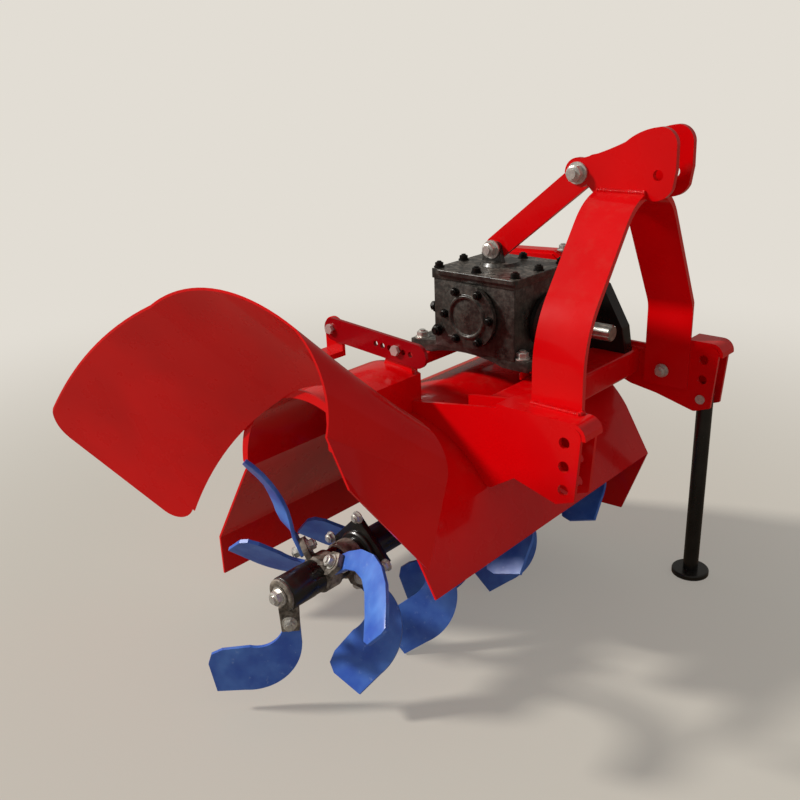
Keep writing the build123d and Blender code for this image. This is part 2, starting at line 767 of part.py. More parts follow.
# rings inside the hood: name, width position, root angle of the first of four blades
ring_blades = 4
rings = (
    ("blade_ring_1", 170.0, -78.5),
    ("blade_ring_2", 20.0, -50.2),
    ("blade_ring_3", -130.0, -78.5),
    ("blade_ring_4", -290.0, -50.2),
)
for ring_name, ring_y, ring_angle in rings:
    y = frame_mid_y + ring_y
    with BuildPart() as ring:
        with BuildSketch(about_axis(y + hub_half)) as s:
            Circle(hub_r)
        extrude(amount=2 * hub_half)
        with BuildSketch(about_axis(y + ring_t / 2)) as s1:
            with Locations(Location((0, 0), ring_angle - 45)):
                RectangleRounded(2 * ring_flat, 2 * ring_flat, 12)
        extrude(amount=ring_t)
        for i in range(ring_blades):
            angle = ring_angle + i * 360 / ring_blades
            with BuildSketch(blade_plane(angle, y)) as s2:
                make_face(blade_outline(inner_extra))
            extrude(amount=blade_t / 2, both=True)
            with BuildSketch(blade_plane(angle, y).offset(-blade_t / 2 - lug_t)) as s3:
                with Locations(((lug_reach + tube_d / 2 + 2) / 2, 0)):
                    RectangleRounded(lug_reach - tube_d / 2 - 2, 2 * blade_half, 8)
            extrude(amount=lug_t)
        with BuildSketch(about_axis(y + 60)) as s4:
            Circle(tube_d / 2)
        extrude(amount=120, mode=Mode.SUBTRACT)
    ring.part.label = ring_name
    export_step(ring.part, "parts/" + ring_name + ".step")

# throwing blades at the open end: name, width position, root angle, extra reach
throwers = (
    ("thrower_blade_a", cross_y, 124.0, 30.0),
    ("thrower_blade_b", inner_holder_y, -149.0, 0.0),
    ("thrower_blade_c", rotor_end_y, -89.0, 0.0),
    ("thrower_blade_d", cross_y, 34.0, 0.0),
    ("thrower_blade_e", inner_holder_y, -28.0, 0.0),
)
for blade_name, blade_y, blade_angle, extra in throwers:
    with BuildPart() as blade:
        with BuildSketch(blade_plane(blade_angle, frame_mid_y + blade_y)) as s:
            make_face(blade_outline(extra))
        extrude(amount=blade_t / 2, both=True)
    blade.part.label = blade_name
    export_step(blade.part, "parts/" + blade_name + ".step")

# cast holders on the tube: name, width position, root angles of their lugs
holders = (
    ("end_holder_inner", inner_holder_y, (-28.0, -149.0)),
    ("end_holder_cross", cross_y, (34.0, 124.0)),
    ("end_arm", rotor_end_y, (-89.0,)),
)
for holder_name, holder_y, lug_angles in holders:
    y = frame_mid_y + holder_y
    half = hub_half if holder_name != "end_arm" else 13.0
    with BuildPart() as holder:
        with BuildSketch(about_axis(y + hub_half)) as s:
            Circle(holder_r)
        extrude(amount=hub_half + half)
        for angle in lug_angles:
            with BuildSketch(blade_plane(angle, y).offset(-blade_t / 2 - lug_t)) as s3:
                with BuildLine() as l3:
                    Polyline(
                        (10, -holder_r + 8),
                        (lug_reach, -blade_half - 3),
                        (lug_reach, blade_half + 3),
                        (10, holder_r - 8),
                        close=True,
                    )
                make_face()
                fillet(s3.vertices().sort_by(Axis.X)[-2:], radius=8)
            extrude(amount=lug_t)
        # the blades' roots bed into the hub
        for angle in lug_angles:
            with BuildSketch(blade_plane(angle, y)) as s4:
                with Locations((blade_root + 60, 0)):
                    Rectangle(120, 2 * blade_half)
            extrude(amount=blade_t / 2, both=True, mode=Mode.SUBTRACT)
        with BuildSketch(about_axis(y + 60)) as s5:
            Circle(tube_d / 2)
        extrude(amount=60 if holder_name == "end_arm" else 120, mode=Mode.SUBTRACT)
    holder.part.label = holder_name
    export_step(holder.part, "parts/" + holder_name + ".step")

# deflector: a ruled sheet between its neck beside the hood and its flared outer rim.
# Each row is one edge of the sheet about the rotor axis: an end, a corner, then arcs by pairs.
neck_pts = ((281, 109), (325, 290), (315, 360), (235, 393), (52, 412), (-93, 349), (-295, 180), (-470, -63))
rim_pts = ((240, 310), (195, 390), (192, 495), (139, 563), (-50, 600), (-269, 540), (-540, 395), (-786, 182))


def inset(points, t):
    # the same row moved inward by the sheet's thickness
    moved = []
    for i in range(len(points)):
        p = points[max(i - 1, 0)]
        q = points[min(i + 1, len(points) - 1)]
        run = hypot(q[0] - p[0], q[1] - p[1])
        moved.append((points[i][0] - t * (q[1] - p[1]) / run, points[i][1] + t * (q[0] - p[0]) / run))
    return moved


neck_tip = Vector(axis_x + neck_pts[-1][0], frame_mid_y + defl_near_y, axis_z + neck_pts[-1][1])
rim_tip = Vector(axis_x + rim_pts[-1][0], frame_mid_y + defl_out_y, axis_z + rim_pts[-1][1])
neck_run = ThreePointArc(*neck_pts[-3:]) % 1
rim_run = ThreePointArc(*rim_pts[-3:]) % 1
neck_back = Vector(-neck_run.X, 0, -neck_run.Y)
rim_back = Vector(-rim_run.X, 0, -rim_run.Y)
end_line = (rim_tip - neck_tip).normalized()

with BuildPart() as deflector:
    for edge_y, outer in ((defl_near_y, neck_pts), (defl_out_y, rim_pts)):
        inner = inset(outer, defl_t)
        with BuildSketch(about_axis(frame_mid_y + edge_y)) as s:
            with BuildLine() as l:
                Line(outer[0], outer[1])
                for i in (1, 3, 5):
                    ThreePointArc(outer[i], outer[i + 1], outer[i + 2])
                Line(outer[7], inner[7])
                for i in (7, 5, 3):
                    ThreePointArc(inner[i], inner[i - 1], inner[i - 2])
                Line(inner[1], inner[0])
                Line(inner[0], outer[0])
            make_face()
    loft(ruled=True)
    # the two corners of the tongue are rounded off
    for tip, along, back in ((neck_tip, end_line, neck_back), (rim_tip, end_line * -1, rim_back)):
        half = radians(along.get_angle(back) / 2)
        reach = rim_corner_r / tan(half)
        centre = tip + (along + back).normalized() * (rim_corner_r / sin(half))
        corner_plane = Plane(origin=centre, x_dir=along, z_dir=along.cross(back))
        outside = [
            corner_plane.to_local_coords(q)
            for q in (
                centre,
                tip + back * reach,
                tip + back * reach - along * 20,
                tip - (along + back) * 20,
                tip + along * reach - back * 20,
                tip + along * reach,
            )
        ]
        with BuildSketch(corner_plane) as s2:
            with BuildLine() as l2:
                Polyline(*[(q.X, q.Y) for q in outside], close=True)
            make_face()
            Circle(rim_corner_r, mode=Mode.SUBTRACT)
        extrude(amount=rim_corner_r, both=True, mode=Mode.SUBTRACT)
deflector.part.label = "deflector_sheet"

# arm from the neck to the adjusting bar, trimmed where it meets the sheet
with BuildPart() as arm:
    with BuildSketch(about_axis(bracket_y + plate_t)) as s:
        with Locations((bar_pin_x, arm_low_z + arm_t / 2)):
            Rectangle(bar_width, arm_t)
    extrude(amount=bracket_y + plate_t - frame_mid_y + 640)
    add(deflector.part, mode=Mode.SUBTRACT)
    rest = arm.part.solids().sort_by(Axis.Y)[:-1]
    for piece in rest:
        add(piece, mode=Mode.SUBTRACT)
    with BuildSketch(about_axis(bracket_y + plate_t)) as s1:
        with Locations((bar_pin_x, (bar_pin_z + arm_low_z + arm_t) / 2)):
            Rectangle(bar_width, bar_pin_z - arm_low_z - arm_t)
        with Locations((bar_pin_x, bar_pin_z)):
            Circle(bar_width / 2)
            Circle(bar_bolt_d / 2 + pin_clear, mode=Mode.SUBTRACT)
    extrude(amount=plate_t)
arm.part.label = "deflector_arm"

# adjusting bar with its row of holes
bar_tilt = degrees(atan2(bar_stop_z - bar_pin_z, bar_stop_x - bar_pin_x))
bar_run = hypot(bar_stop_z - bar_pin_z, bar_stop_x - bar_pin_x)
bar_plane = Plane(
    origin=(axis_x + bar_pin_x, bar_y1, axis_z + bar_pin_z),
    x_dir=(cos(radians(bar_tilt)), 0, sin(radians(bar_tilt))),
    z_dir=(0, -1, 0),
)
bolt_head_r = 11.0
bolt_head_t = 8.0
with BuildPart() as bar:
    with BuildSketch(bar_plane) as s:
        with Locations(((bar_run + bar_tail) / 2, 0)):
            SlotCenterToCenter(bar_run + bar_tail - 12, bar_width)
        with Locations((0, 0), *[(bar_run + i * bar_hole_pitch, 0) for i in (-3, -2, -1, 0, 1, 2)]):
            Circle(bar_bolt_d / 2, mode=Mode.SUBTRACT)
    extrude(amount=bar_t)
    # its two bolts, the pivot's with a nut beyond the arm
    with BuildSketch(bar_plane.offset(bar_t)) as s1:
        with Locations((0, 0), (bar_run, 0)):
            RegularPolygon(bolt_head_r, 6)
    extrude(amount=bolt_head_t)
    with BuildSketch(bar_plane.offset(bar_t)) as s2:
        with Locations((0, 0), (bar_run, 0)):
            Circle(bar_bolt_d / 2)
    extrude(amount=-bar_t)
    with BuildSketch(bar_plane) as s3:
        Circle(bar_bolt_d / 2)
    extrude(amount=-plate_t - 2 * seat_gap - bolt_head_t)
    with BuildSketch(bar_plane.offset(-plate_t - 2 * seat_gap)) as s4:
        RegularPolygon(bolt_head_r, 6)
    extrude(amount=-bolt_head_t)
bar.part.label = "link_bar"

# parking stand on the lowest hole of the left pair of plates
with BuildPart() as leg:
    with BuildSketch(Plane.XY) as s:
        with Locations((hitch_x, left_mid_y)):
            Circle(stand_foot_d / 2)
    extrude(amount=stand_foot_t)
    fillet(leg.edges().sort_by(Axis.Z)[-1], radius=4)
    with BuildSketch(Plane.XY.offset(stand_foot_t)) as s1:
        with Locations((hitch_x, left_mid_y)):
            Circle(stand_d / 2)
    extrude(amount=stand_pin_z + stand_head - stand_foot_t)
    with BuildSketch(side(left_mid_y + stand_d)) as s2:
        with Locations((hitch_x, stand_pin_z)):
            Circle(lower_pin_d / 2 - pin_clear)
    extrude(amount=2 * stand_d, mode=Mode.SUBTRACT)
leg.part.label = "stand_leg"

with BuildPart() as pin:
    with BuildSketch(side(left_mid_y + clevis_out + 12)) as s:
        with Locations((hitch_x, stand_pin_z)):
            Circle(lower_pin_d / 2 - pin_clear)
    extrude(amount=2 * clevis_out + 15)
    with BuildSketch(side(left_mid_y + clevis_out + seat_gap + 6)) as s1:
        with Locations((hitch_x, stand_pin_z)):
            Circle(lower_pin_d / 2 + 6)
    extrude(amount=6)
pin.part.label = "stand_pin"

for piece in (
    right_outer, right_inner, left_inner, left_outer, beam, mast, brace,
    hood_main, hood_near, guide, side_plate, case, case_cover, gearbox, cover, side_cap, in_cap,
    stub, out_tube, rail_front, rail_rear, bracket, rotor_tube, deflector, arm, bar, leg, pin,
):
    export_step(piece.part, "parts/" + piece.part.label + ".step")
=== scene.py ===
import math
import bmesh
import bpy
from mathutils import Matrix, Vector


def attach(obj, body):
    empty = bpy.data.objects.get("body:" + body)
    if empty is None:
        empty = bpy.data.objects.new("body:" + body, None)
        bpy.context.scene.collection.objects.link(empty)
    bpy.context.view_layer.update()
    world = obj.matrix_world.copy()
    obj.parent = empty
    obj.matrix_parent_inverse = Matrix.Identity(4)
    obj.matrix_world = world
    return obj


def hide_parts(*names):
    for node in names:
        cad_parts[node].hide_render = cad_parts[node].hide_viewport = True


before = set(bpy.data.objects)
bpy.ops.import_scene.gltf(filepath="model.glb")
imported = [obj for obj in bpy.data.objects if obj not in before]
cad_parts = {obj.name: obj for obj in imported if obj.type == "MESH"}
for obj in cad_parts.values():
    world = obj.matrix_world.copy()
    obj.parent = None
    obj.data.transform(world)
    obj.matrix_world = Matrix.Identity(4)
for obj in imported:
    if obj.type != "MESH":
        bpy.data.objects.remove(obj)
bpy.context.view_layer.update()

# Places in metres: X forward to the tractor, Y to the machine's left, Z up, floor at Z = 0.
hitch_x, hitch_z = 0.5565, 0.560
middle_y = 0.2225
axis_x, axis_z = hitch_x - 0.400, 0.260
right, left, up, rearward = (0, -1, 0), (0, 1, 0), (0, 0, 1), (-1, 0, 0)


def linear(hex_colour):
    """An sRGB hex colour as the linear values that the shaders take."""
    parts = [int(hex_colour[i:i + 2], 16) / 255 for i in (1, 3, 5)]
    return [p / 12.92 if p <= 0.04045 else ((p + 0.055) / 1.055) ** 2.4 for p in parts] + [1.0]


def fill(tree, node, inputs):
    """Sets a node's inputs: each is a value, another node's output, or a node for its first one in use."""
    for key, value in inputs.items():
        if isinstance(value, bpy.types.Node):
            value = next(output for output in value.outputs if output.enabled)
        if isinstance(value, bpy.types.NodeSocket):
            tree.links.new(value, node.inputs[key])
        else:
            node.inputs[key].default_value = value


def add(tree, kind, inputs=None, **settings):
    """Adds one node with its settings and links."""
    made = tree.nodes.new(kind)
    for key, value in settings.items():
        setattr(made, key, value)
    fill(tree, made, inputs or {})
    return made


def new_material(name):
    """An empty material: its tree, its shader, and places on the machine in metres."""
    material = bpy.data.materials.new(name)
    material.use_nodes = True
    tree = material.node_tree
    tree.nodes.clear()
    shader = add(tree, "ShaderNodeBsdfPrincipled")
    add(tree, "ShaderNodeOutputMaterial", {"Surface": shader})
    return material, tree, shader, add(tree, "ShaderNodeTexCoord").outputs["Object"]


def painted_over(material):
    """What a second coat needs of a material: tree, shader, a place's X, Y and Z, and the colour below."""
    tree = material.node_tree
    shader = next(n for n in tree.nodes if n.type == "BSDF_PRINCIPLED")
    place = next(n for n in tree.nodes if n.type == "TEX_COORD").outputs["Object"]
    return (tree, shader, add(tree, "ShaderNodeSeparateXYZ", {0: place}).outputs,
            shader.inputs["Base Color"].links[0].from_socket)


# In the finishes, a noise's Scale is 1000 over the size of its spots in millimetres.


def sprayed_enamel(name):
    """Red enamel, sprayed on sheet steel: deep colour, a hard wet gloss, faint orange peel."""
    material, tree, shader, place = new_material(name)
    tone = add(tree, "ShaderNodeTexNoise",
               {"Vector": place, "Scale": 1000 / 220, "Detail": 2.0, "Roughness": 0.55})
    depth = add(tree, "ShaderNodeMapRange", {"Value": tone, "From Min": 0.35, "From Max": 0.7})
    paint = add(tree, "ShaderNodeMix", {0: depth, 6: linear("#D80006"), 7: linear("#EA0209")},
                data_type="RGBA")
    # dust lies thin and in spots on faces that look up
    specks = add(tree, "ShaderNodeTexNoise",
                 {"Vector": place, "Scale": 1000 / 34, "Detail": 5.0, "Roughness": 0.65})
    patches = add(tree, "ShaderNodeMapRange", {"Value": specks, "From Min": 0.50, "From Max": 0.75})
    facing = add(tree, "ShaderNodeNewGeometry").outputs["Normal"]
    upward = add(tree, "ShaderNodeSeparateXYZ", {0: facing}).outputs["Z"]
    lies = add(tree, "ShaderNodeMapRange",
               {"Value": upward, "From Min": 0.3, "From Max": 1.0, "To Min": 0.0, "To Max": 0.10})
    dust = add(tree, "ShaderNodeMath", {0: patches, 1: lies}, operation="MULTIPLY")
    colour = add(tree, "ShaderNodeMix", {0: dust, 6: paint, 7: linear("#B08A72")}, data_type="RGBA")
    handled = add(tree, "ShaderNodeTexNoise",
                  {"Vector": place, "Scale": 1000 / 60, "Detail": 4.0, "Roughness": 0.55})
    shine = add(tree, "ShaderNodeMapRange",
                {"Value": handled, "From Min": 0.3, "From Max": 0.75, "To Min": 0.24, "To Max": 0.36})
    # sheet that was rolled by hand is never quite even; peel is drawn at 7 mm so that it shows
    rolled = add(tree, "ShaderNodeTexNoise",
                 {"Vector": place, "Scale": 1000 / 150, "Detail": 1.0, "Roughness": 0.55})
    wave = add(tree, "ShaderNodeBump", {"Height": rolled, "Distance": 0.0016, "Strength": 0.35})
    peel = add(tree, "ShaderNodeTexNoise",
               {"Vector": place, "Scale": 1000 / 7, "Detail": 1.0, "Roughness": 0.55})
    skin = add(tree, "ShaderNodeBump",
               {"Height": peel, "Distance": 0.00005, "Strength": 0.5, "Normal": wave})
    fill(tree, shader, {"Base Color": colour, "Roughness": shine, "IOR": 1.5, "Specular IOR Level": 0.12,
                        "Coat Weight": 0.5, "Coat Roughness": 0.09, "Normal": skin})
    return material


def dipped_enamel(name):
    """Blue enamel, dipped on forged blades: thinner and duller than the red, rubbed pale in spots."""
    material, tree, shader, place = new_material(name)
    tone = add(tree, "ShaderNodeTexNoise",
               {"Vector": place, "Scale": 1000 / 70, "Detail": 3.0, "Roughness": 0.55})
    depth = add(tree, "ShaderNodeMapRange", {"Value": tone, "From Min": 0.35, "From Max": 0.7})
    paint = add(tree, "ShaderNodeMix", {0: depth, 6: linear("#3560C4"), 7: linear("#5A8CE4")},
                data_type="RGBA")
    rubbed = add(tree, "ShaderNodeTexNoise",
                 {"Vector": place, "Scale": 1000 / 16, "Detail": 6.0, "Roughness": 0.7})
    scuffs = add(tree, "ShaderNodeMapRange",
                 {"Value": rubbed, "From Min": 0.60, "From Max": 0.72, "To Min": 0.0, "To Max": 0.5})
    colour = add(tree, "ShaderNodeMix", {0: scuffs, 6: paint, 7: linear("#96B4EA")}, data_type="RGBA")
    dulled = add(tree, "ShaderNodeTexNoise",
                 {"Vector": place, "Scale": 1000 / 25, "Detail": 4.0, "Roughness": 0.55})
    shine = add(tree, "ShaderNodeMapRange",
                {"Value": dulled, "From Min": 0.3, "From Max": 0.7, "To Min": 0.28, "To Max": 0.46})
    forged = add(tree, "ShaderNodeTexNoise",
                 {"Vector": place, "Scale": 1000 / 22, "Detail": 3.0, "Roughness": 0.55})
    skin = add(tree, "ShaderNodeBump", {"Height": forged, "Distance": 0.0005, "Strength": 0.4})
    fill(tree, shader, {"Base Color": colour, "Roughness": shine, "Specular IOR Level": 0.35,
                        "Coat Weight": 0.3, "Coat Roughness": 0.2, "Normal": skin})
    return material


def hub_and_blade_enamel():
    """The inner rings are one piece each: black near the shaft, blue from where the blade is bolted."""
    material = dipped_enamel("blue_dipped_enamel_black_hub")
    tree, shader, place, blue_below = painted_over(material)
    squares = []
    for way, middle in (("X", axis_x), ("Z", axis_z)):
        off = add(tree, "ShaderNodeMath", {0: place[way], 1: middle}, operation="SUBTRACT")
        squares.append(add(tree, "ShaderNodeMath", {0: off, 1: 2.0}, operation="POWER"))
    both = add(tree, "ShaderNodeMath", {0: squares[0], 1: squares[1]}, operation="ADD")
    radius = add(tree, "ShaderNodeMath", {0: both}, operation="SQRT")
    hub_edge, soft = 0.104, 0.001
    past_hub = add(tree, "ShaderNodeMapRange",
                   {"Value": radius, "From Min": hub_edge - soft, "From Max": hub_edge + soft})
    colour = add(tree, "ShaderNodeMix", {0: past_hub, 6: linear("#15140F"), 7: blue_below},
                 data_type="RGBA")
    fill(tree, shader, {"Base Color": colour})
    return material


def case_enamel():
    """The side case: red behind, black from near the gearbox's middle forward, where the guard sits."""
    material = sprayed_enamel("red_and_black_sprayed_enamel")
    tree, shader, place, red_below = painted_over(material)
    black_from, soft = hitch_x - 0.315, 0.001
    forward = add(tree, "ShaderNodeMapRange",
                  {"Value": place["X"], "From Min": black_from - soft, "From Max": black_from + soft})
    colour = add(tree, "ShaderNodeMix", {0: forward, 6: red_below, 7: linear("#1A1816")},
                 data_type="RGBA")
    fill(tree, shader, {"Base Color": colour})
    return material


def bar_enamel_with_painted_shade():
    """The adjusting bar: red enamel darkened towards deep crimson as painted shade, with its two bolts and
    the nut left in bright zinc.
    """
    material = sprayed_enamel("red_enamel_painted_shade_zinc_bolts")
    tree, shader, place, red_below = painted_over(material)
    # painted shade: the red is mixed 65 per cent of the way to deep crimson, so the bar's face looks as if it
    # lay in shade
    paint = add(tree, "ShaderNodeMix", {0: 0.65, 6: red_below, 7: linear("#5A0010")}, data_type="RGBA")
    # the heads stand out to the right of the bar's face, the nut to the left of what it clamps
    heads_end, nut_starts = middle_y - 0.3186, middle_y - 0.3025
    head = add(tree, "ShaderNodeMath", {0: place["Y"], 1: heads_end}, operation="LESS_THAN")
    nut = add(tree, "ShaderNodeMath", {0: place["Y"], 1: nut_starts}, operation="GREATER_THAN")
    is_bolt = add(tree, "ShaderNodeMath", {0: head, 1: nut}, operation="MAXIMUM")
    colour = add(tree, "ShaderNodeMix", {0: is_bolt, 6: paint, 7: linear("#D8D6D1")}, data_type="RGBA")
    metal = add(tree, "ShaderNodeMath", {0: is_bolt, 1: 0.5}, operation="MULTIPLY")
    fill(tree, shader, {"Base Color": colour, "Metallic": metal})
    return material


def painted_casting():
    """Grey iron, sand cast and painted black: a sandy skin under semi-gloss paint, dusty on top."""
    material, tree, shader, place = new_material("black_painted_sand_casting")
    tone = add(tree, "ShaderNodeTexNoise",
               {"Vector": place, "Scale": 1000 / 40, "Detail": 4.0, "Roughness": 0.6})
    depth = add(tree, "ShaderNodeMapRange", {"Value": tone, "From Min": 0.35, "From Max": 0.7})
    paint = add(tree, "ShaderNodeMix", {0: depth, 6: linear("#1D1B19"), 7: linear("#34312D")},
                data_type="RGBA")
    facing = add(tree, "ShaderNodeNewGeometry").outputs["Normal"]
    upward = add(tree, "ShaderNodeSeparateXYZ", {0: facing}).outputs["Z"]
    lies = add(tree, "ShaderNodeMapRange",
               {"Value": upward, "From Min": 0.0, "From Max": 1.0, "To Min": 0.16, "To Max": 0.70})
    specks = add(tree, "ShaderNodeTexNoise",
                 {"Vector": place, "Scale": 1000 / 11, "Detail": 7.0, "Roughness": 0.75})
    patches = add(tree, "ShaderNodeMapRange", {"Value": specks, "From Min": 0.45, "From Max": 0.62})
    dust = add(tree, "ShaderNodeMath", {0: lies, 1: patches}, operation="MULTIPLY")
    colour = add(tree, "ShaderNodeMix", {0: dust, 6: paint, 7: linear("#8D857B")}, data_type="RGBA")
    shine = add(tree, "ShaderNodeMapRange",
                {"Value": tone, "From Min": 0.3, "From Max": 0.7, "To Min": 0.24, "To Max": 0.44})
    # sand grain of about half a millimetre, drawn at 3 mm so that it shows
    sand = add(tree, "ShaderNodeTexNoise",
               {"Vector": place, "Scale": 1000 / 3, "Detail": 4.0, "Roughness": 0.7})
    grain = add(tree, "ShaderNodeBump", {"Height": sand, "Distance": 0.0006, "Strength": 0.55})
    uneven = add(tree, "ShaderNodeTexNoise",
                 {"Vector": place, "Scale": 1000 / 26, "Detail": 2.0, "Roughness": 0.55})
    skin = add(tree, "ShaderNodeBump",
               {"Height": uneven, "Distance": 0.0012, "Strength": 0.4, "Normal": grain})
    fill(tree, shader, {"Base Color": colour, "Roughness": shine, "Coat Weight": 0.15,
                        "Coat Roughness": 0.18, "Normal": skin})
    return material


def gloss_black():
    """Black enamel on steel plate and tube: smooth, fairly glossy, a little brown with dust."""
    material, tree, shader, place = new_material("black_enamel")
    tone = add(tree, "ShaderNodeTexNoise",
               {"Vector": place, "Scale": 1000 / 45, "Detail": 4.0, "Roughness": 0.55})
    dust = add(tree, "ShaderNodeMapRange",
               {"Value": tone, "From Min": 0.4, "From Max": 0.75, "To Min": 0.0, "To Max": 0.5})
    colour = add(tree, "ShaderNodeMix", {0: dust, 6: linear("#121110"), 7: linear("#2E2822")},
                 data_type="RGBA")
    shine = add(tree, "ShaderNodeMapRange",
                {"Value": tone, "From Min": 0.3, "From Max": 0.7, "To Min": 0.22, "To Max": 0.42})
    rippled = add(tree, "ShaderNodeTexNoise",
                  {"Vector": place, "Scale": 1000 / 9, "Detail": 2.0, "Roughness": 0.55})
    skin = add(tree, "ShaderNodeBump", {"Height": rippled, "Distance": 0.00012, "Strength": 0.4})
    fill(tree, shader, {"Base Color": colour, "Roughness": shine, "Coat Weight": 0.3, "Normal": skin})
    return material


def worn_casting():
    """Bare cast steel of the blade holders, its paint mostly gone: grey brown, pitted, dull."""
    material, tree, shader, place = new_material("worn_bare_casting")
    tone = add(tree, "ShaderNodeTexNoise",
               {"Vector": place, "Scale": 1000 / 22, "Detail": 5.0, "Roughness": 0.65})
    bared = add(tree, "ShaderNodeMapRange", {"Value": tone, "From Min": 0.38, "From Max": 0.62})
    steel = add(tree, "ShaderNodeMix", {0: bared, 6: linear("#4A433B"), 7: linear("#A0968A")},
                data_type="RGBA")
    blotches = add(tree, "ShaderNodeTexNoise",
                   {"Vector": place, "Scale": 1000 / 9, "Detail": 4.0, "Roughness": 0.7})
    rust = add(tree, "ShaderNodeMapRange",
               {"Value": blotches, "From Min": 0.56, "From Max": 0.7, "To Min": 0.0, "To Max": 0.55})
    colour = add(tree, "ShaderNodeMix", {0: rust, 6: steel, 7: linear("#5E3B26")}, data_type="RGBA")
    shine = add(tree, "ShaderNodeMapRange",
                {"Value": tone, "From Min": 0.35, "From Max": 0.65, "To Min": 0.62, "To Max": 0.42})
    pits = add(tree, "ShaderNodeTexNoise",
               {"Vector": place, "Scale": 1000 / 4, "Detail": 5.0, "Roughness": 0.7})
    skin = add(tree, "ShaderNodeBump", {"Height": pits, "Distance": 0.0007, "Strength": 0.6})
    fill(tree, shader, {"Base Color": colour, "Metallic": 0.25, "Roughness": shine, "Normal": skin})
    return material


def zinc_plate():
    """Zinc plated steel fasteners: pale grey metal with a slightly warm, uneven film."""
    material, tree, shader, place = new_material("zinc_plated_steel")
    tone = add(tree, "ShaderNodeTexNoise",
               {"Vector": place, "Scale": 1000 / 5, "Detail": 3.0, "Roughness": 0.55})
    film = add(tree, "ShaderNodeMapRange", {"Value": tone, "From Min": 0.4, "From Max": 0.65})
    colour = add(tree, "ShaderNodeMix", {0: film, 6: linear("#C8C6C2"), 7: linear("#E2DFD6")},
                 data_type="RGBA")
    shine = add(tree, "ShaderNodeMapRange",
                {"Value": tone, "From Min": 0.3, "From Max": 0.7, "To Min": 0.28, "To Max": 0.44})
    fill(tree, shader, {"Base Color": colour, "Metallic": 0.6, "Roughness": shine})
    return material


def turned_steel():
    """Turned and splined steel, wiped with oil: bright, with fine rings from the lathe."""
    material, tree, shader, place = new_material("turned_steel")
    tone = add(tree, "ShaderNodeTexNoise",
               {"Vector": place, "Scale": 1000 / 12, "Detail": 3.0, "Roughness": 0.55})
    oiled = add(tree, "ShaderNodeMapRange", {"Value": tone, "From Min": 0.4, "From Max": 0.7})
    colour = add(tree, "ShaderNodeMix", {0: oiled, 6: linear("#9C9A96"), 7: linear("#C4C1BB")},
                 data_type="RGBA")
    # tool marks of a tenth of a millimetre, drawn 0.95 mm apart; a wave's step is pi / 10 over its scale
    rings = add(tree, "ShaderNodeTexWave",
                {"Vector": place, "Scale": 100 * math.pi / 0.952, "Distortion": 0.6}, bands_direction="X")
    marks = add(tree, "ShaderNodeBump",
                {"Height": rings.outputs["Fac"], "Distance": 0.00003, "Strength": 0.4})
    fill(tree, shader, {"Base Color": colour, "Metallic": 1.0, "Roughness": 0.3, "Normal": marks})
    return material


def oxide_screws():
    """Black oxide steel of the socket screws: near black, oily, soft highlight."""
    material, tree, shader, place = new_material("black_oxide_steel")
    tone = add(tree, "ShaderNodeTexNoise",
               {"Vector": place, "Scale": 1000 / 6, "Detail": 3.0, "Roughness": 0.55})
    thin = add(tree, "ShaderNodeMapRange",
               {"Value": tone, "From Min": 0.45, "From Max": 0.7, "To Min": 0.0, "To Max": 0.6})
    colour = add(tree, "ShaderNodeMix", {0: thin, 6: linear("#131211"), 7: linear("#3B3631")},
                 data_type="RGBA")
    fill(tree, shader, {"Base Color": colour, "Metallic": 0.6, "Roughness": 0.42})
    return material


red = sprayed_enamel("red_sprayed_enamel")
weld_paint = sprayed_enamel("red_enamel_on_weld")
blue = dipped_enamel("blue_dipped_enamel")
casting = painted_casting()
black = gloss_black()
bare_casting = worn_casting()
zinc = zinc_plate()
oxide = oxide_screws()

# the solids that aren't red
finishes = (
    (hub_and_blade_enamel(), ("blade_ring_1", "blade_ring_2", "blade_ring_3", "blade_ring_4")),
    (blue, ("thrower_blade_a", "thrower_blade_b", "thrower_blade_c", "thrower_blade_d", "thrower_blade_e")),
    (black, ("rotor_tube", "stand_leg", "gearbox_input_cap")),
    (casting, ("gearbox_case", "gearbox_cover", "gearbox_side_cap", "output_tube")),
    (bare_casting, ("end_holder_inner", "end_holder_cross", "end_arm")),
    (case_enamel(), ("side_case",)),
    (bar_enamel_with_painted_shade(), ("link_bar",)),
    (turned_steel(), ("pto_stub",)),
    (zinc, ("stand_pin",)),
)
finish_of = {node: finish for finish, solids in finishes for node in solids}
for name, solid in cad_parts.items():
    solid.data.materials.clear()
    solid.data.materials.append(finish_of.get(name, red))


def at_hitch(x, y, z):
    """A point given in millimetres from the hitch: forward, to the left of the middle, up."""
    return (hitch_x + x / 1000, middle_y + y / 1000, hitch_z + z / 1000)


def seen_from_side(across, rise, level):
    """A drawing as seen from the machine's right; level is the place across the machine."""
    return at_hitch(across, level, rise)


def about_shaft(across, rise, level):
    """A drawing round the rotor's axis; level is the place across the machine."""
    return (axis_x + across / 1000, middle_y + level / 1000, axis_z + rise / 1000)


def on_blade(angle, y_mm, out_mm, lean_mm, off_mm):
    """A point on a blade's plane: out along its root, leaning, and off its face; and the face's way."""
    turn, skew = math.radians(angle), math.radians(45.0)
    out = Vector((math.cos(turn), 0, math.sin(turn)))
    lean = Vector((math.sin(turn) * math.sin(skew), -math.cos(skew), -math.cos(turn) * math.sin(skew)))
    face = out.cross(lean)
    base = Vector(about_shaft(0, 0, y_mm))
    return base + (out * out_mm + lean * lean_mm + face * off_mm) / 1000, face


def keep_as_mesh(piece, name, body):
    """Turns an object with live modifiers into a plain mesh at the origin that rides on its body."""
    bpy.context.view_layer.update()
    seen = piece.evaluated_get(bpy.context.evaluated_depsgraph_get())
    mesh = bpy.data.meshes.new_from_object(seen)
    bpy.data.objects.remove(piece)
    made = bpy.data.objects.new(name, mesh)
    bpy.context.scene.collection.objects.link(made)
    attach(made, body)
    return made


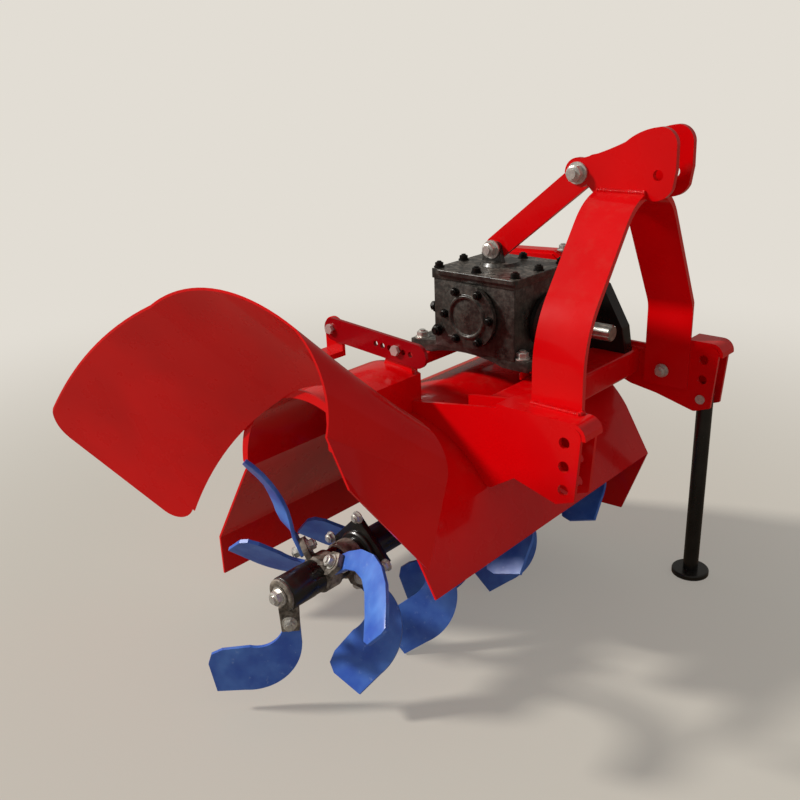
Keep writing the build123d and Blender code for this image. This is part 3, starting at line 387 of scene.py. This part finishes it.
def new_tree(name, sizes):
    """A Geometry Nodes tree with a named input for each size, and the outputs of its input node."""
    tree = bpy.data.node_groups.new(name, "GeometryNodeTree")
    tree.interface.new_socket("Geometry", in_out="INPUT", socket_type="NodeSocketGeometry")
    for label in sizes:
        tree.interface.new_socket(label, in_out="INPUT", socket_type="NodeSocketFloat")
    tree.interface.new_socket("Geometry", in_out="OUTPUT", socket_type="NodeSocketGeometry")
    return tree, add(tree, "NodeGroupInput").outputs


def grow(mesh, tree, sizes, name, body):
    """Lets a tree build on a mesh of points or paths, and keeps what it makes as one plain mesh."""
    piece = bpy.data.objects.new(name + "_base", mesh)
    bpy.context.scene.collection.objects.link(piece)
    modifier = piece.modifiers.new("grown", "NODES")
    modifier.node_group = tree
    for item in tree.interface.items_tree:
        if item.in_out == "INPUT" and item.name in sizes:
            modifier[item.identifier] = sizes[item.name]
    return keep_as_mesh(piece, name, body)


# an M12 bolt in metres, which each place scales
bolt_sizes = {"Head radius": 0.011, "Head height": 0.009, "Washer radius": 0.014, "Washer height": 0.0025,
              "Shank radius": 0.006, "Shank height": 0.004}


def fastener_tree(name, sides, finish):
    """Hexagon or socket heads on washers, one on each point, turned to face along the point's facing."""
    tree, given = new_tree(name, bolt_sizes)
    head_top = add(tree, "ShaderNodeMath", {0: given["Head height"], 1: given["Washer height"]},
                   operation="ADD")
    stack = []
    for label, corners, low in (("Washer", 20, 0.0), ("Head", sides, given["Washer height"]),
                                ("Shank", 14, head_top)):
        height = given[label + " height"]
        drum = add(tree, "GeometryNodeMeshCylinder",
                   {"Vertices": corners, "Radius": given[label + " radius"], "Depth": height})
        half = add(tree, "ShaderNodeMath", {0: height, 1: 0.5}, operation="MULTIPLY")
        middle = add(tree, "ShaderNodeMath", {0: half, 1: low}, operation="ADD")
        lift = add(tree, "ShaderNodeCombineXYZ", {"Z": middle})
        stack.append(add(tree, "GeometryNodeTransform", {"Geometry": drum, "Translation": lift}))
    # the chamfered crown lies on the head, under the shank's tip
    brow = add(tree, "ShaderNodeMath", {0: given["Head radius"], 1: 0.80}, operation="MULTIPLY")
    cone = add(tree, "GeometryNodeMeshCone",
               {"Vertices": 18, "Radius Top": brow, "Radius Bottom": given["Head radius"], "Depth": 0.0012})
    crown_lift = add(tree, "ShaderNodeCombineXYZ", {"Z": head_top})
    stack.insert(2, add(tree, "GeometryNodeTransform",
                        {"Geometry": cone, "Translation": crown_lift, "Scale": (0.92, 0.92, 1.0)}))
    joined = add(tree, "GeometryNodeJoinGeometry")
    for part in stack:
        fill(tree, joined, {0: part})
    facing = add(tree, "GeometryNodeInputNamedAttribute", {"Name": "facing"}, data_type="FLOAT_VECTOR")
    turned = add(tree, "FunctionNodeAlignRotationToVector", {"Vector": facing}, axis="Z")
    spin = add(tree, "GeometryNodeInputNamedAttribute", {"Name": "turn"}, data_type="FLOAT")
    own_axis = add(tree, "ShaderNodeCombineXYZ", {"Z": spin})
    own_turn = add(tree, "FunctionNodeEulerToRotation", {0: own_axis})
    both = add(tree, "FunctionNodeRotateRotation", {"Rotation": turned, "Rotate By": own_turn},
               rotation_space="LOCAL")
    size = add(tree, "GeometryNodeInputNamedAttribute", {"Name": "size"}, data_type="FLOAT")
    placed = add(tree, "GeometryNodeInstanceOnPoints",
                 {"Points": given["Geometry"], "Instance": joined, "Rotation": both, "Scale": size})
    real = add(tree, "GeometryNodeRealizeInstances", {0: placed})
    flat = add(tree, "GeometryNodeSetShadeSmooth", {"Geometry": real, "Shade Smooth": False})
    painted = add(tree, "GeometryNodeSetMaterial", {"Geometry": flat, "Material": finish})
    add(tree, "NodeGroupOutput", {0: painted})
    return tree


def set_fasteners(name, body, tree, places):
    """places: (point in metres, facing, size against an M12 bolt) for each fastener."""
    points, ways, scales = zip(*places)
    mesh = bpy.data.meshes.new(name)
    mesh.from_pydata(points, [], [])
    facing = mesh.attributes.new("facing", "FLOAT_VECTOR", "POINT")
    facing.data.foreach_set("vector", [part for way in ways for part in Vector(way).normalized()])
    size = mesh.attributes.new("size", "FLOAT", "POINT")
    size.data.foreach_set("value", scales)
    # no two heads in a row stand at the same turn
    turn = mesh.attributes.new("turn", "FLOAT", "POINT")
    turn.data.foreach_set("value", [0.7 * i for i in range(len(places))])
    grow(mesh, tree, bolt_sizes, name, body)


def through_blade(angle, y_mm, out_mm, head_mm, nut_mm, size):
    """A bolt's head and its nut on the two sides of a blade, both measured off the plane of its root."""
    ends = []
    for off_mm, turn in ((head_mm, 1), (nut_mm, -1)):
        point, face = on_blade(angle, y_mm, out_mm, 0, off_mm)
        ends.append((point, face * turn, size))
    return ends


hex_zinc = fastener_tree("hexagon_heads_zinc", 6, zinc)
hex_black = fastener_tree("hexagon_heads_black", 6, oxide)
socket_black = fastener_tree("socket_heads_black", 16, oxide)

# large bolts of the mast, the brace and the left hitch plate
set_fasteners("mast_bolts", "frame", hex_zinc, [
    (at_hitch(-158, -40, 434), right, 1.55),
    (at_hitch(-158, 40, 434), left, 1.55),
    (at_hitch(-380, -18, 258), right, 1.45),
    (at_hitch(-380, 6, 258), left, 1.45),
    (at_hitch(-91.5, 247.5, -39), right, 1.15),
])

# gearbox: foot bolts, the bolt on the side case, cover screws and cap screws
foot_low, foot_top, cover_top = 26, 51, 224
set_fasteners("gearbox_foot_bolts", "frame", hex_zinc,
              [(at_hitch(x, y, foot_top), up, 1.2) for y in (-92, 70) for x in (-524, -246)])
set_fasteners("case_top_bolt", "frame", hex_zinc, [(at_hitch(-345, 216, 219), up, 1.0)])
cover_middle = (-362, -11)
cover_spots = [(x, y) for x in (-464, -362, -262) for y in (-98, -11, 76) if (x, y) != cover_middle]
set_fasteners("gearbox_cover_screws", "frame", socket_black,
              [(at_hitch(x, y, cover_top), up, 0.85) for x, y in cover_spots])
cap_x, cap_z, cap_circle = -367, 131, 60
cap_turns = [math.radians(60 * i) for i in range(6)]
set_fasteners("gearbox_cap_bolts", "frame", hex_black, [
    (at_hitch(cap_x + cap_circle * math.cos(a), -127, cap_z + cap_circle * math.sin(a)), right, 0.72)
    for a in cap_turns
])

# cast holders at the rotor's open end, by their middles across the machine, and their blades' angles
inner_y, cross_y, arm_y = -497, -560, -655
inner_angles, hook_angle, bent_angle, arm_angle = (-28, -149), 34, 124, -89
# where a bolt's head and nut lie off the middle of a blade: on the blade's face and on the lug's back
head_off, nut_off = 4, -16
end_bolt_out, ring_bolt_out = 58, 84
end_blades = (
    (inner_angles[0], inner_y, head_off, nut_off), (inner_angles[1], inner_y, head_off, nut_off),
    (hook_angle, cross_y, head_off, nut_off), (bent_angle, cross_y, -4, -24), (arm_angle, arm_y, 4, -20),
)
set_fasteners("thrower_blade_bolts", "rotor", hex_zinc, [
    end for angle, y_mm, head, nut in end_blades
    for end in through_blade(angle, y_mm, end_bolt_out, head, nut, 1.08)
])
set_fasteners("rotor_end_bolt", "rotor", hex_zinc, [(about_shaft(0, 0, -674), right, 1.35)])
# each inner ring's place across the machine and the angle of its first blade
blade_rings = ((170, -78.5), (20, -50.2), (-130, -78.5), (-290, -50.2))
set_fasteners("ring_blade_bolts", "rotor", hex_zinc, [
    end for y_mm, first in blade_rings for quarter in range(4)
    for end in through_blade(first + 90 * quarter, y_mm, ring_bolt_out, head_off, nut_off, 0.95)
])


def rounded(corners, radius, steps):
    """Rounds the corners of a flat outline given as (across, rise) pairs."""
    outline = []
    for i, corner in enumerate(corners):
        here = Vector(corner)
        back = (Vector(corners[i - 1]) - here).normalized()
        forth = (Vector(corners[(i + 1) % len(corners)]) - here).normalized()
        half = back.angle(forth) / 2
        reach = radius / math.tan(half)
        centre = here + (back + forth).normalized() * (radius / math.sin(half))
        start, end = here + back * reach - centre, here + forth * reach - centre
        outline += [centre + start.slerp(end, j / steps, start) for j in range(steps + 1)]
    return outline


def cast_block(x0, x1, y0, y1):
    """The outline of a cast block seen from above, with corners of 9 mm."""
    return rounded([(x0, y0), (x1, y0), (x1, y1), (x0, y1)], 9, 4)


def slab(shape, outline, low, high, place_at):
    """Adds a plate between two levels; place_at turns (across, rise, level), in millimetres, to a point."""
    rings = [[shape.verts.new(place_at(*point, level)) for point in outline] for level in (low, high)]
    shape.faces.new(list(reversed(rings[0])))
    shape.faces.new(rings[1])
    count = len(outline)
    for i in range(count):
        j = (i + 1) % count
        shape.faces.new((rings[0][i], rings[0][j], rings[1][j], rings[1][i]))


def lathe(shape, profile, count, place_at):
    """Adds a turned solid from (radius, level) pairs, closed at both ends."""
    turns = [2 * math.pi * i / count for i in range(count)]
    rings = [[shape.verts.new(place_at(radius * math.cos(t), radius * math.sin(t), level)) for t in turns]
             for radius, level in profile]
    for low, high in zip(rings, rings[1:]):
        for i in range(count):
            j = (i + 1) % count
            shape.faces.new((low[i], low[j], high[j], high[i]))
    shape.faces.new(list(reversed(rings[0])))
    shape.faces.new(rings[-1])


def finish_piece(shape, name, body, finish, bevel_mm):
    """Bevels the edges, turns the faces outwards and hands the piece to its body."""
    mesh = bpy.data.meshes.new(name)
    bmesh.ops.recalc_face_normals(shape, faces=shape.faces)
    shape.to_mesh(mesh)
    shape.free()
    mesh.materials.append(finish)
    piece = bpy.data.objects.new(name + "_raw", mesh)
    bpy.context.scene.collection.objects.link(piece)
    bevel = piece.modifiers.new("edges", "BEVEL")
    bevel.width = bevel_mm / 1000
    bevel.segments = 2
    bevel.limit_method = "ANGLE"
    bevel.angle_limit = math.radians(35)
    made = keep_as_mesh(piece, name, body)
    for face in made.data.polygons:
        face.use_smooth = True
    made.data.set_sharp_from_angle(angle=math.radians(40))
    return made


# gearbox case: a rounded casting with a lip under its cover, on a base that is arched between its feet
case = bmesh.new()
slab(case, cast_block(-478, -247, -118, 96), 47, 206, at_hitch)
slab(case, cast_block(-481, -244, -121, 98.5), 202, 223, at_hitch)
arch_span, arch_rise, arch_steps = 200, 15, 8
arch = [(-545, 50), (-545, 27), (-486, 27)]
arch += [(-486 + arch_span * step / arch_steps,
          27 + arch_rise * math.sin(math.pi * step / arch_steps) ** 0.8) for step in range(1, arch_steps)]
arch += [(-286, 27), (-222, 27), (-222, 50), (-252, 54), (-300, 61), (-440, 62), (-500, 54)]
slab(case, arch, -108, 86, seen_from_side)
for x0, x1 in ((-546, -500), (-270, -221)):
    for y0, y1 in ((-114, -72), (50, 92)):
        slab(case, cast_block(x0, x1, y0, y1), foot_low, foot_top, at_hitch)
gearbox_casting = finish_piece(case, "gearbox_casting", "frame", casting, 2.0)
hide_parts("gearbox_case")

# side cap: a turned flange with a rim and a shallow dome
cap = bmesh.new()
cap_profile = ((71, -116), (71, -126.5), (49, -126.5), (47, -131), (42, -131), (40, -126.5), (34, -127.5),
               (20, -130), (8, -131))
lathe(cap, cap_profile, 56, lambda across, rise, level: at_hitch(cap_x + across, level, cap_z + rise))
side_cap = finish_piece(cap, "turned_side_cap", "frame", casting, 1.0)
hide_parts("gearbox_side_cap")
set_fasteners("case_plugs", "frame", hex_black, [
    (at_hitch(-454, -118, 87), right, 1.0),
    (at_hitch(-478, -92, 132), rearward, 1.0),
    (at_hitch(-478, 40, 96), rearward, 1.0),
])

# rails under the base: folded channels, open below; the rear one has a cut end plate on its right
rail_low, rail_top, wall = 0.5, 26, 5
rails = (("rail_front", -256, -218, -88, 98), ("rail_rear", -526, -488, -165, 198))
for rail_name, x0, x1, y0, y1 in rails:
    rail = bmesh.new()
    folded = [(x0, rail_low), (x0, rail_top), (x1, rail_top), (x1, rail_low), (x1 - wall, rail_low),
              (x1 - wall, rail_top - wall), (x0 + wall, rail_top - wall), (x0 + wall, rail_low)]
    slab(rail, folded, y0, y1, seen_from_side)
    if rail_name == "rail_rear":
        slab(rail, [(x0, 22), (x0, -79), (x1, -40), (x1, 22)], y0, y0 + 12, seen_from_side)
    channel = finish_piece(rail, rail_name + "_channel", "frame", red, 1.5)
    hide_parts(rail_name)

# square flange on the shaft, with its corner bolts
flange_face, flange_circle = -458, 80
flange = bmesh.new()
slab(flange, rounded([(-98, 0), (0, -98), (98, 0), (0, 98)], 13, 4), flange_face, -446, about_shaft)
lathe(flange, ((44, -436), (46, -440), (46, -464), (42, -468)), 32, about_shaft)
finish_piece(flange, "shaft_flange", "rotor", black, 1.6)
flange_turns = [math.radians(a) for a in (-3, 87, 177, 267)]
set_fasteners("shaft_flange_bolts", "rotor", hex_zinc, [
    (about_shaft(flange_circle * math.cos(a), flange_circle * math.sin(a), flange_face), right, 0.95)
    for a in flange_turns
])

# end of the shaft: black sleeve, worn disc, and the three cast holders with ribbed lugs
sleeve = bmesh.new()
lathe(sleeve, ((34.2, -604), (34.8, -606), (34.8, -664), (33, -667)), 40, about_shaft)
finish_piece(sleeve, "shaft_end_sleeve", "rotor", black, 1.0)
disc = bmesh.new()
disc_profile = ((32, -666), (33, -668), (33, -672), (30, -674), (24, -674), (22, -672.5), (14, -672.5))
lathe(disc, disc_profile, 40, about_shaft)
finish_piece(disc, "shaft_end_disc", "rotor", bare_casting, 1.0)

wide_lug = rounded([(22, -26), (50, -20), (84, -19), (84, 19), (50, 20), (22, 26)], 6, 3)
arm_bar = rounded([(20, -24), (80, -21), (80, 20), (20, 22)], 4, 3)
lug_face = -4.2
for holder, y_mm, half, lugs in (("end_holder_inner", inner_y, 20, inner_angles),
                                 ("end_holder_cross", cross_y, 22, (hook_angle, bent_angle)),
                                 ("end_arm", arm_y, 11, (arm_angle,))):
    cast = bmesh.new()
    if holder != "end_arm":
        hub = ((35, y_mm - half), (39, y_mm - half + 5), (39, y_mm + half - 5), (35, y_mm + half))
        lathe(cast, hub, 40, about_shaft)
    for angle in lugs:
        def on_lug(across, lean, level):
            return on_blade(angle, y_mm, across, lean, level)[0]

        if holder == "end_arm":
            slab(cast, arm_bar, -20, lug_face, on_lug)
            continue
        slab(cast, wide_lug, -16, lug_face, on_lug)
        # rib between hub and bolt, on the side away from the blade
        low, high = (-6, 11) if angle == bent_angle else (-14, -31)
        rib = [(24, low), (46, low), (40, low + (high - low) * 0.35), (28, high)]
        slab(cast, rib, -5, 5, lambda across, rise, level: on_lug(across, level, rise))
    cast_piece = finish_piece(cast, holder + "_casting", "rotor", bare_casting, 1.5)
    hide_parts(holder)

# two throwing blades are forged to other shapes than the flat hook, so they replace their solids
half_blade = 4
hook = bmesh.new()
hook_outline = [(45, -18), (90, -20), (137, -13), (183, 9), (216, 39), (240, 77), (253, 116), (264, 164),
                (254, 172), (216, 185), (202, 177), (191, 129), (176, 83), (158, 53), (128, 30), (92, 18),
                (45, 18)]
slab(hook, hook_outline, -half_blade, half_blade,
     lambda across, lean, level: on_blade(hook_angle, cross_y, across, lean, level)[0])
hooked_blade = finish_piece(hook, "hooked_throwing_blade", "rotor", blue, 1.2)
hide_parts("thrower_blade_d")

# far edge and near edge of the bent blade, each as out, lean and off the root's plane
bent_edges = (
    (45, -18, -20, 45, 18, -20), (88, -18, -20, 86, 18, -20), (110, -17, -26, 104, 18, -15),
    (130, -14, -32, 117, 20, -11), (149, -10, -32, 138, 28, -6), (167, 0, -28, 160, 46, -2),
    (187, 16, -24, 181, 68, 0), (207, 36, -21, 201, 90, 0), (226, 56, -23, 222, 112, -2),
    (245, 76, -27, 244, 130, -8), (260, 92, -29, 258, 140, -14),
)
across_steps = 6
rows = []
for edges in bent_edges:
    far = on_blade(bent_angle, cross_y, *edges[:3])[0]
    near = on_blade(bent_angle, cross_y, *edges[3:])[0]
    rows.append([far.lerp(near, k / across_steps) for k in range(across_steps + 1)])
bent = bmesh.new()
last = len(rows) - 1
under, over = [], []
for i, row in enumerate(rows):
    under.append([])
    over.append([])
    for k, place in enumerate(row):
        along = rows[min(i + 1, last)][k] - rows[max(i - 1, 0)][k]
        thick = along.cross(row[-1] - row[0]).normalized() * (half_blade / 1000)
        under[i].append(bent.verts.new(place - thick))
        over[i].append(bent.verts.new(place + thick))
for side in (under, over):
    for i in range(last):
        for k in range(across_steps):
            bent.faces.new((side[i][k], side[i][k + 1], side[i + 1][k + 1], side[i + 1][k]))
rim = [(i, 0) for i in range(last + 1)] + [(last, k) for k in range(1, across_steps + 1)]
rim += [(i, across_steps) for i in range(last - 1, -1, -1)] + [(0, k) for k in range(across_steps - 1, 0, -1)]
for (i, k), (j, m) in zip(rim, rim[1:] + rim[:1]):
    bent.faces.new((under[i][k], under[j][m], over[j][m], over[i][k]))
bent_blade = finish_piece(bent, "bent_throwing_blade", "rotor", blue, 1.2)
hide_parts("thrower_blade_a")

bead_sizes = {"Bead radius": 0.0052, "Ripple step": 0.0036}


def weld_tree():
    """Short overlapping scales of weld along a path, as a hand-laid fillet has, under the red enamel."""
    tree, given = new_tree("weld_bead", bead_sizes)
    path = add(tree, "GeometryNodeMeshToCurve", {0: given["Geometry"]})
    steps = add(tree, "GeometryNodeResampleCurve", {"Curve": path, "Length": given["Ripple step"]},
                mode="LENGTH")
    scale = add(tree, "GeometryNodeMeshIcoSphere", {"Radius": given["Bead radius"], "Subdivisions": 2})
    flat_scale = add(tree, "GeometryNodeTransform", {"Geometry": scale, "Scale": (1.0, 1.0, 0.6)})
    along = add(tree, "GeometryNodeInputTangent")
    turned = add(tree, "FunctionNodeAlignRotationToVector", {"Vector": along}, axis="Z")
    uneven = add(tree, "FunctionNodeRandomValue", {"Min": 0.85, "Max": 1.12, "Seed": 4}, data_type="FLOAT")
    placed = add(tree, "GeometryNodeInstanceOnPoints",
                 {"Points": steps, "Instance": flat_scale, "Rotation": turned, "Scale": uneven})
    real = add(tree, "GeometryNodeRealizeInstances", {0: placed})
    smooth = add(tree, "GeometryNodeSetShadeSmooth", {"Geometry": real})
    painted = add(tree, "GeometryNodeSetMaterial", {"Geometry": smooth, "Material": weld_paint})
    add(tree, "NodeGroupOutput", {0: painted})
    return tree


def on_mast(x, y, z):
    """A point on the arch, which stands askew: it lies further forward the further right it is."""
    return at_hitch(x - y * math.tan(math.radians(3.9)), y, z)


# welds: ears on the arch, the arch's right foot, hitch plates, the brace's lug, and the hood's roof
weld_paths = []
for y, drop in ((-40.5, 0.9), (-27.5, 0.1), (27.5, 1.8), (40.5, 4.4)):
    weld_paths.append([on_mast(x, y, 404 - drop + 1.0) for x in (-114, -17)])
mast_foot_y = -276.5
foot_corner = Vector(on_mast(-14, mast_foot_y, 42))
weld_paths.append([on_mast(-116, mast_foot_y, 42), on_mast(-15, mast_foot_y, 42),
                   foot_corner + Vector((0, 0.013, 0))])
for y in (-259.0, 259.0):
    weld_paths.append([at_hitch(x, y, z) for x, z in ((-228, 1), (-140, 1), (-131, -8), (-131, -54))])
for y in (-12.5, 0.5):
    weld_paths.append([at_hitch(x, y, 224.5) for x in (-410, -350)])
roof_mm = 279.5
weld_paths.append([
    about_shaft(roof_mm * math.cos(math.radians(a)), roof_mm * math.sin(math.radians(a)), -289.5)
    for a in range(84, 142, 3)
])
weld_points, weld_runs = [], []
for path in weld_paths:
    first = len(weld_points)
    weld_points += path
    weld_runs += [(first + i, first + i + 1) for i in range(len(path) - 1)]
weld_mesh = bpy.data.meshes.new("welds")
weld_mesh.from_pydata(weld_points, weld_runs, [])
grow(weld_mesh, weld_tree(), bead_sizes, "welds", "frame")

# camera at the photograph's viewing angle, solved for a frame of 800 pixels
focal_pixels, frame_pixels, sensor_mm = 888.95, 800.0, 36.0
camera_data = bpy.data.cameras.new("camera")
camera_data.sensor_width = sensor_mm
camera_data.lens = focal_pixels * sensor_mm / frame_pixels
camera = bpy.data.objects.new("camera", camera_data)
bpy.context.scene.collection.objects.link(camera)
stands_at = Vector((hitch_x + 0.7718, middle_y - 1.5847, hitch_z + 0.6480))
turn_vector = Vector((1.84870882, 0.679193969, -0.519294873))
view_turn = Matrix.Rotation(turn_vector.length, 3, turn_vector.normalized())
camera_turn = view_turn.transposed() @ Matrix(((1, 0, 0), (0, -1, 0), (0, 0, -1)))
camera.matrix_world = Matrix.Translation(stands_at) @ camera_turn.to_4x4()
bpy.context.scene.camera = camera

# plain pale floor; away from the object the camera sees it fade into the backdrop's colour
backdrop_colour = linear("#E2DDD4")
floor_corners = [(-30, -30, 0), (30, -30, 0), (30, 30, 0), (-30, 30, 0)]
floor_mesh = bpy.data.meshes.new("floor")
floor_mesh.from_pydata(floor_corners, [], [(0, 1, 2, 3)])
floor = bpy.data.objects.new("floor", floor_mesh)
bpy.context.scene.collection.objects.link(floor)
floor_finish, floor_tree, floor_shader, floor_place = new_material("pale_studio_floor")
fill(floor_tree, floor_shader, {"Base Color": linear("#C4BEB2"), "Roughness": 0.8})
glow = add(floor_tree, "ShaderNodeEmission", {"Color": backdrop_colour, "Strength": 1.0})
far_off = add(floor_tree, "ShaderNodeVectorMath", {0: floor_place}, operation="LENGTH")
fade = add(floor_tree, "ShaderNodeMapRange",
           {"Value": far_off, "From Min": 0.8, "From Max": 3.2, "To Min": 0.3, "To Max": 1.0},
           interpolation_type="SMOOTHSTEP")
floor_rays = add(floor_tree, "ShaderNodeLightPath").outputs
floor_seen = add(floor_tree, "ShaderNodeMath", {0: fade, 1: floor_rays["Is Camera Ray"]},
                 operation="MULTIPLY")
# painted reflection: in glossy rays the floor shows mostly as a dim warm glow, not as the lit floor
floor_painted_reflection = add(floor_tree, "ShaderNodeEmission", {"Color": linear("#A98F74"), "Strength": 0.22})
painted_reflection_share = add(floor_tree, "ShaderNodeMath", {0: floor_rays["Is Glossy Ray"], 1: 0.8},
               operation="MULTIPLY")
floor_lit = add(floor_tree, "ShaderNodeMixShader", {0: painted_reflection_share, 1: floor_shader, 2: floor_painted_reflection})
floor_mix = add(floor_tree, "ShaderNodeMixShader", {0: floor_seen, 1: floor_lit, 2: glow})
floor_out = next(n for n in floor_tree.nodes if n.type == "OUTPUT_MATERIAL")
fill(floor_tree, floor_out, {"Surface": floor_mix})
floor_mesh.materials.append(floor_finish)

# open shade from all round, and the same pale backdrop for the camera and, dimmed, in gloss
world = bpy.data.worlds.new("studio")
world.use_nodes = True
bpy.context.scene.world = world
world_tree = world.node_tree
world_tree.nodes.clear()
sky_rays = add(world_tree, "ShaderNodeLightPath").outputs
shade = add(world_tree, "ShaderNodeBackground", {"Color": linear("#F4F3F1"), "Strength": 0.32})
backdrop = add(world_tree, "ShaderNodeBackground", {"Color": backdrop_colour, "Strength": 1.0})
in_gloss = add(world_tree, "ShaderNodeBackground", {"Color": backdrop_colour, "Strength": 0.3})
lit = add(world_tree, "ShaderNodeMixShader", {0: sky_rays["Is Glossy Ray"], 1: shade, 2: in_gloss})
whole = add(world_tree, "ShaderNodeMixShader", {0: sky_rays["Is Camera Ray"], 1: lit, 2: backdrop})
add(world_tree, "ShaderNodeOutputWorld", {0: whole})

# one broad soft lamp from behind and to the machine's right, as the sun stands in the photograph
key_data = bpy.data.lights.new("key", "SUN")
key_data.energy = 3.0
key_data.angle = math.radians(7.0)
key_data.color = (1.0, 0.97, 0.92)
key = bpy.data.objects.new("key", key_data)
shines_towards = Vector((0.68, 0.50, -0.54))
key.rotation_euler = shines_towards.to_track_quat("-Z", "Y").to_euler()
bpy.context.scene.collection.objects.link(key)
bpy.context.scene.view_settings.view_transform = "Standard"
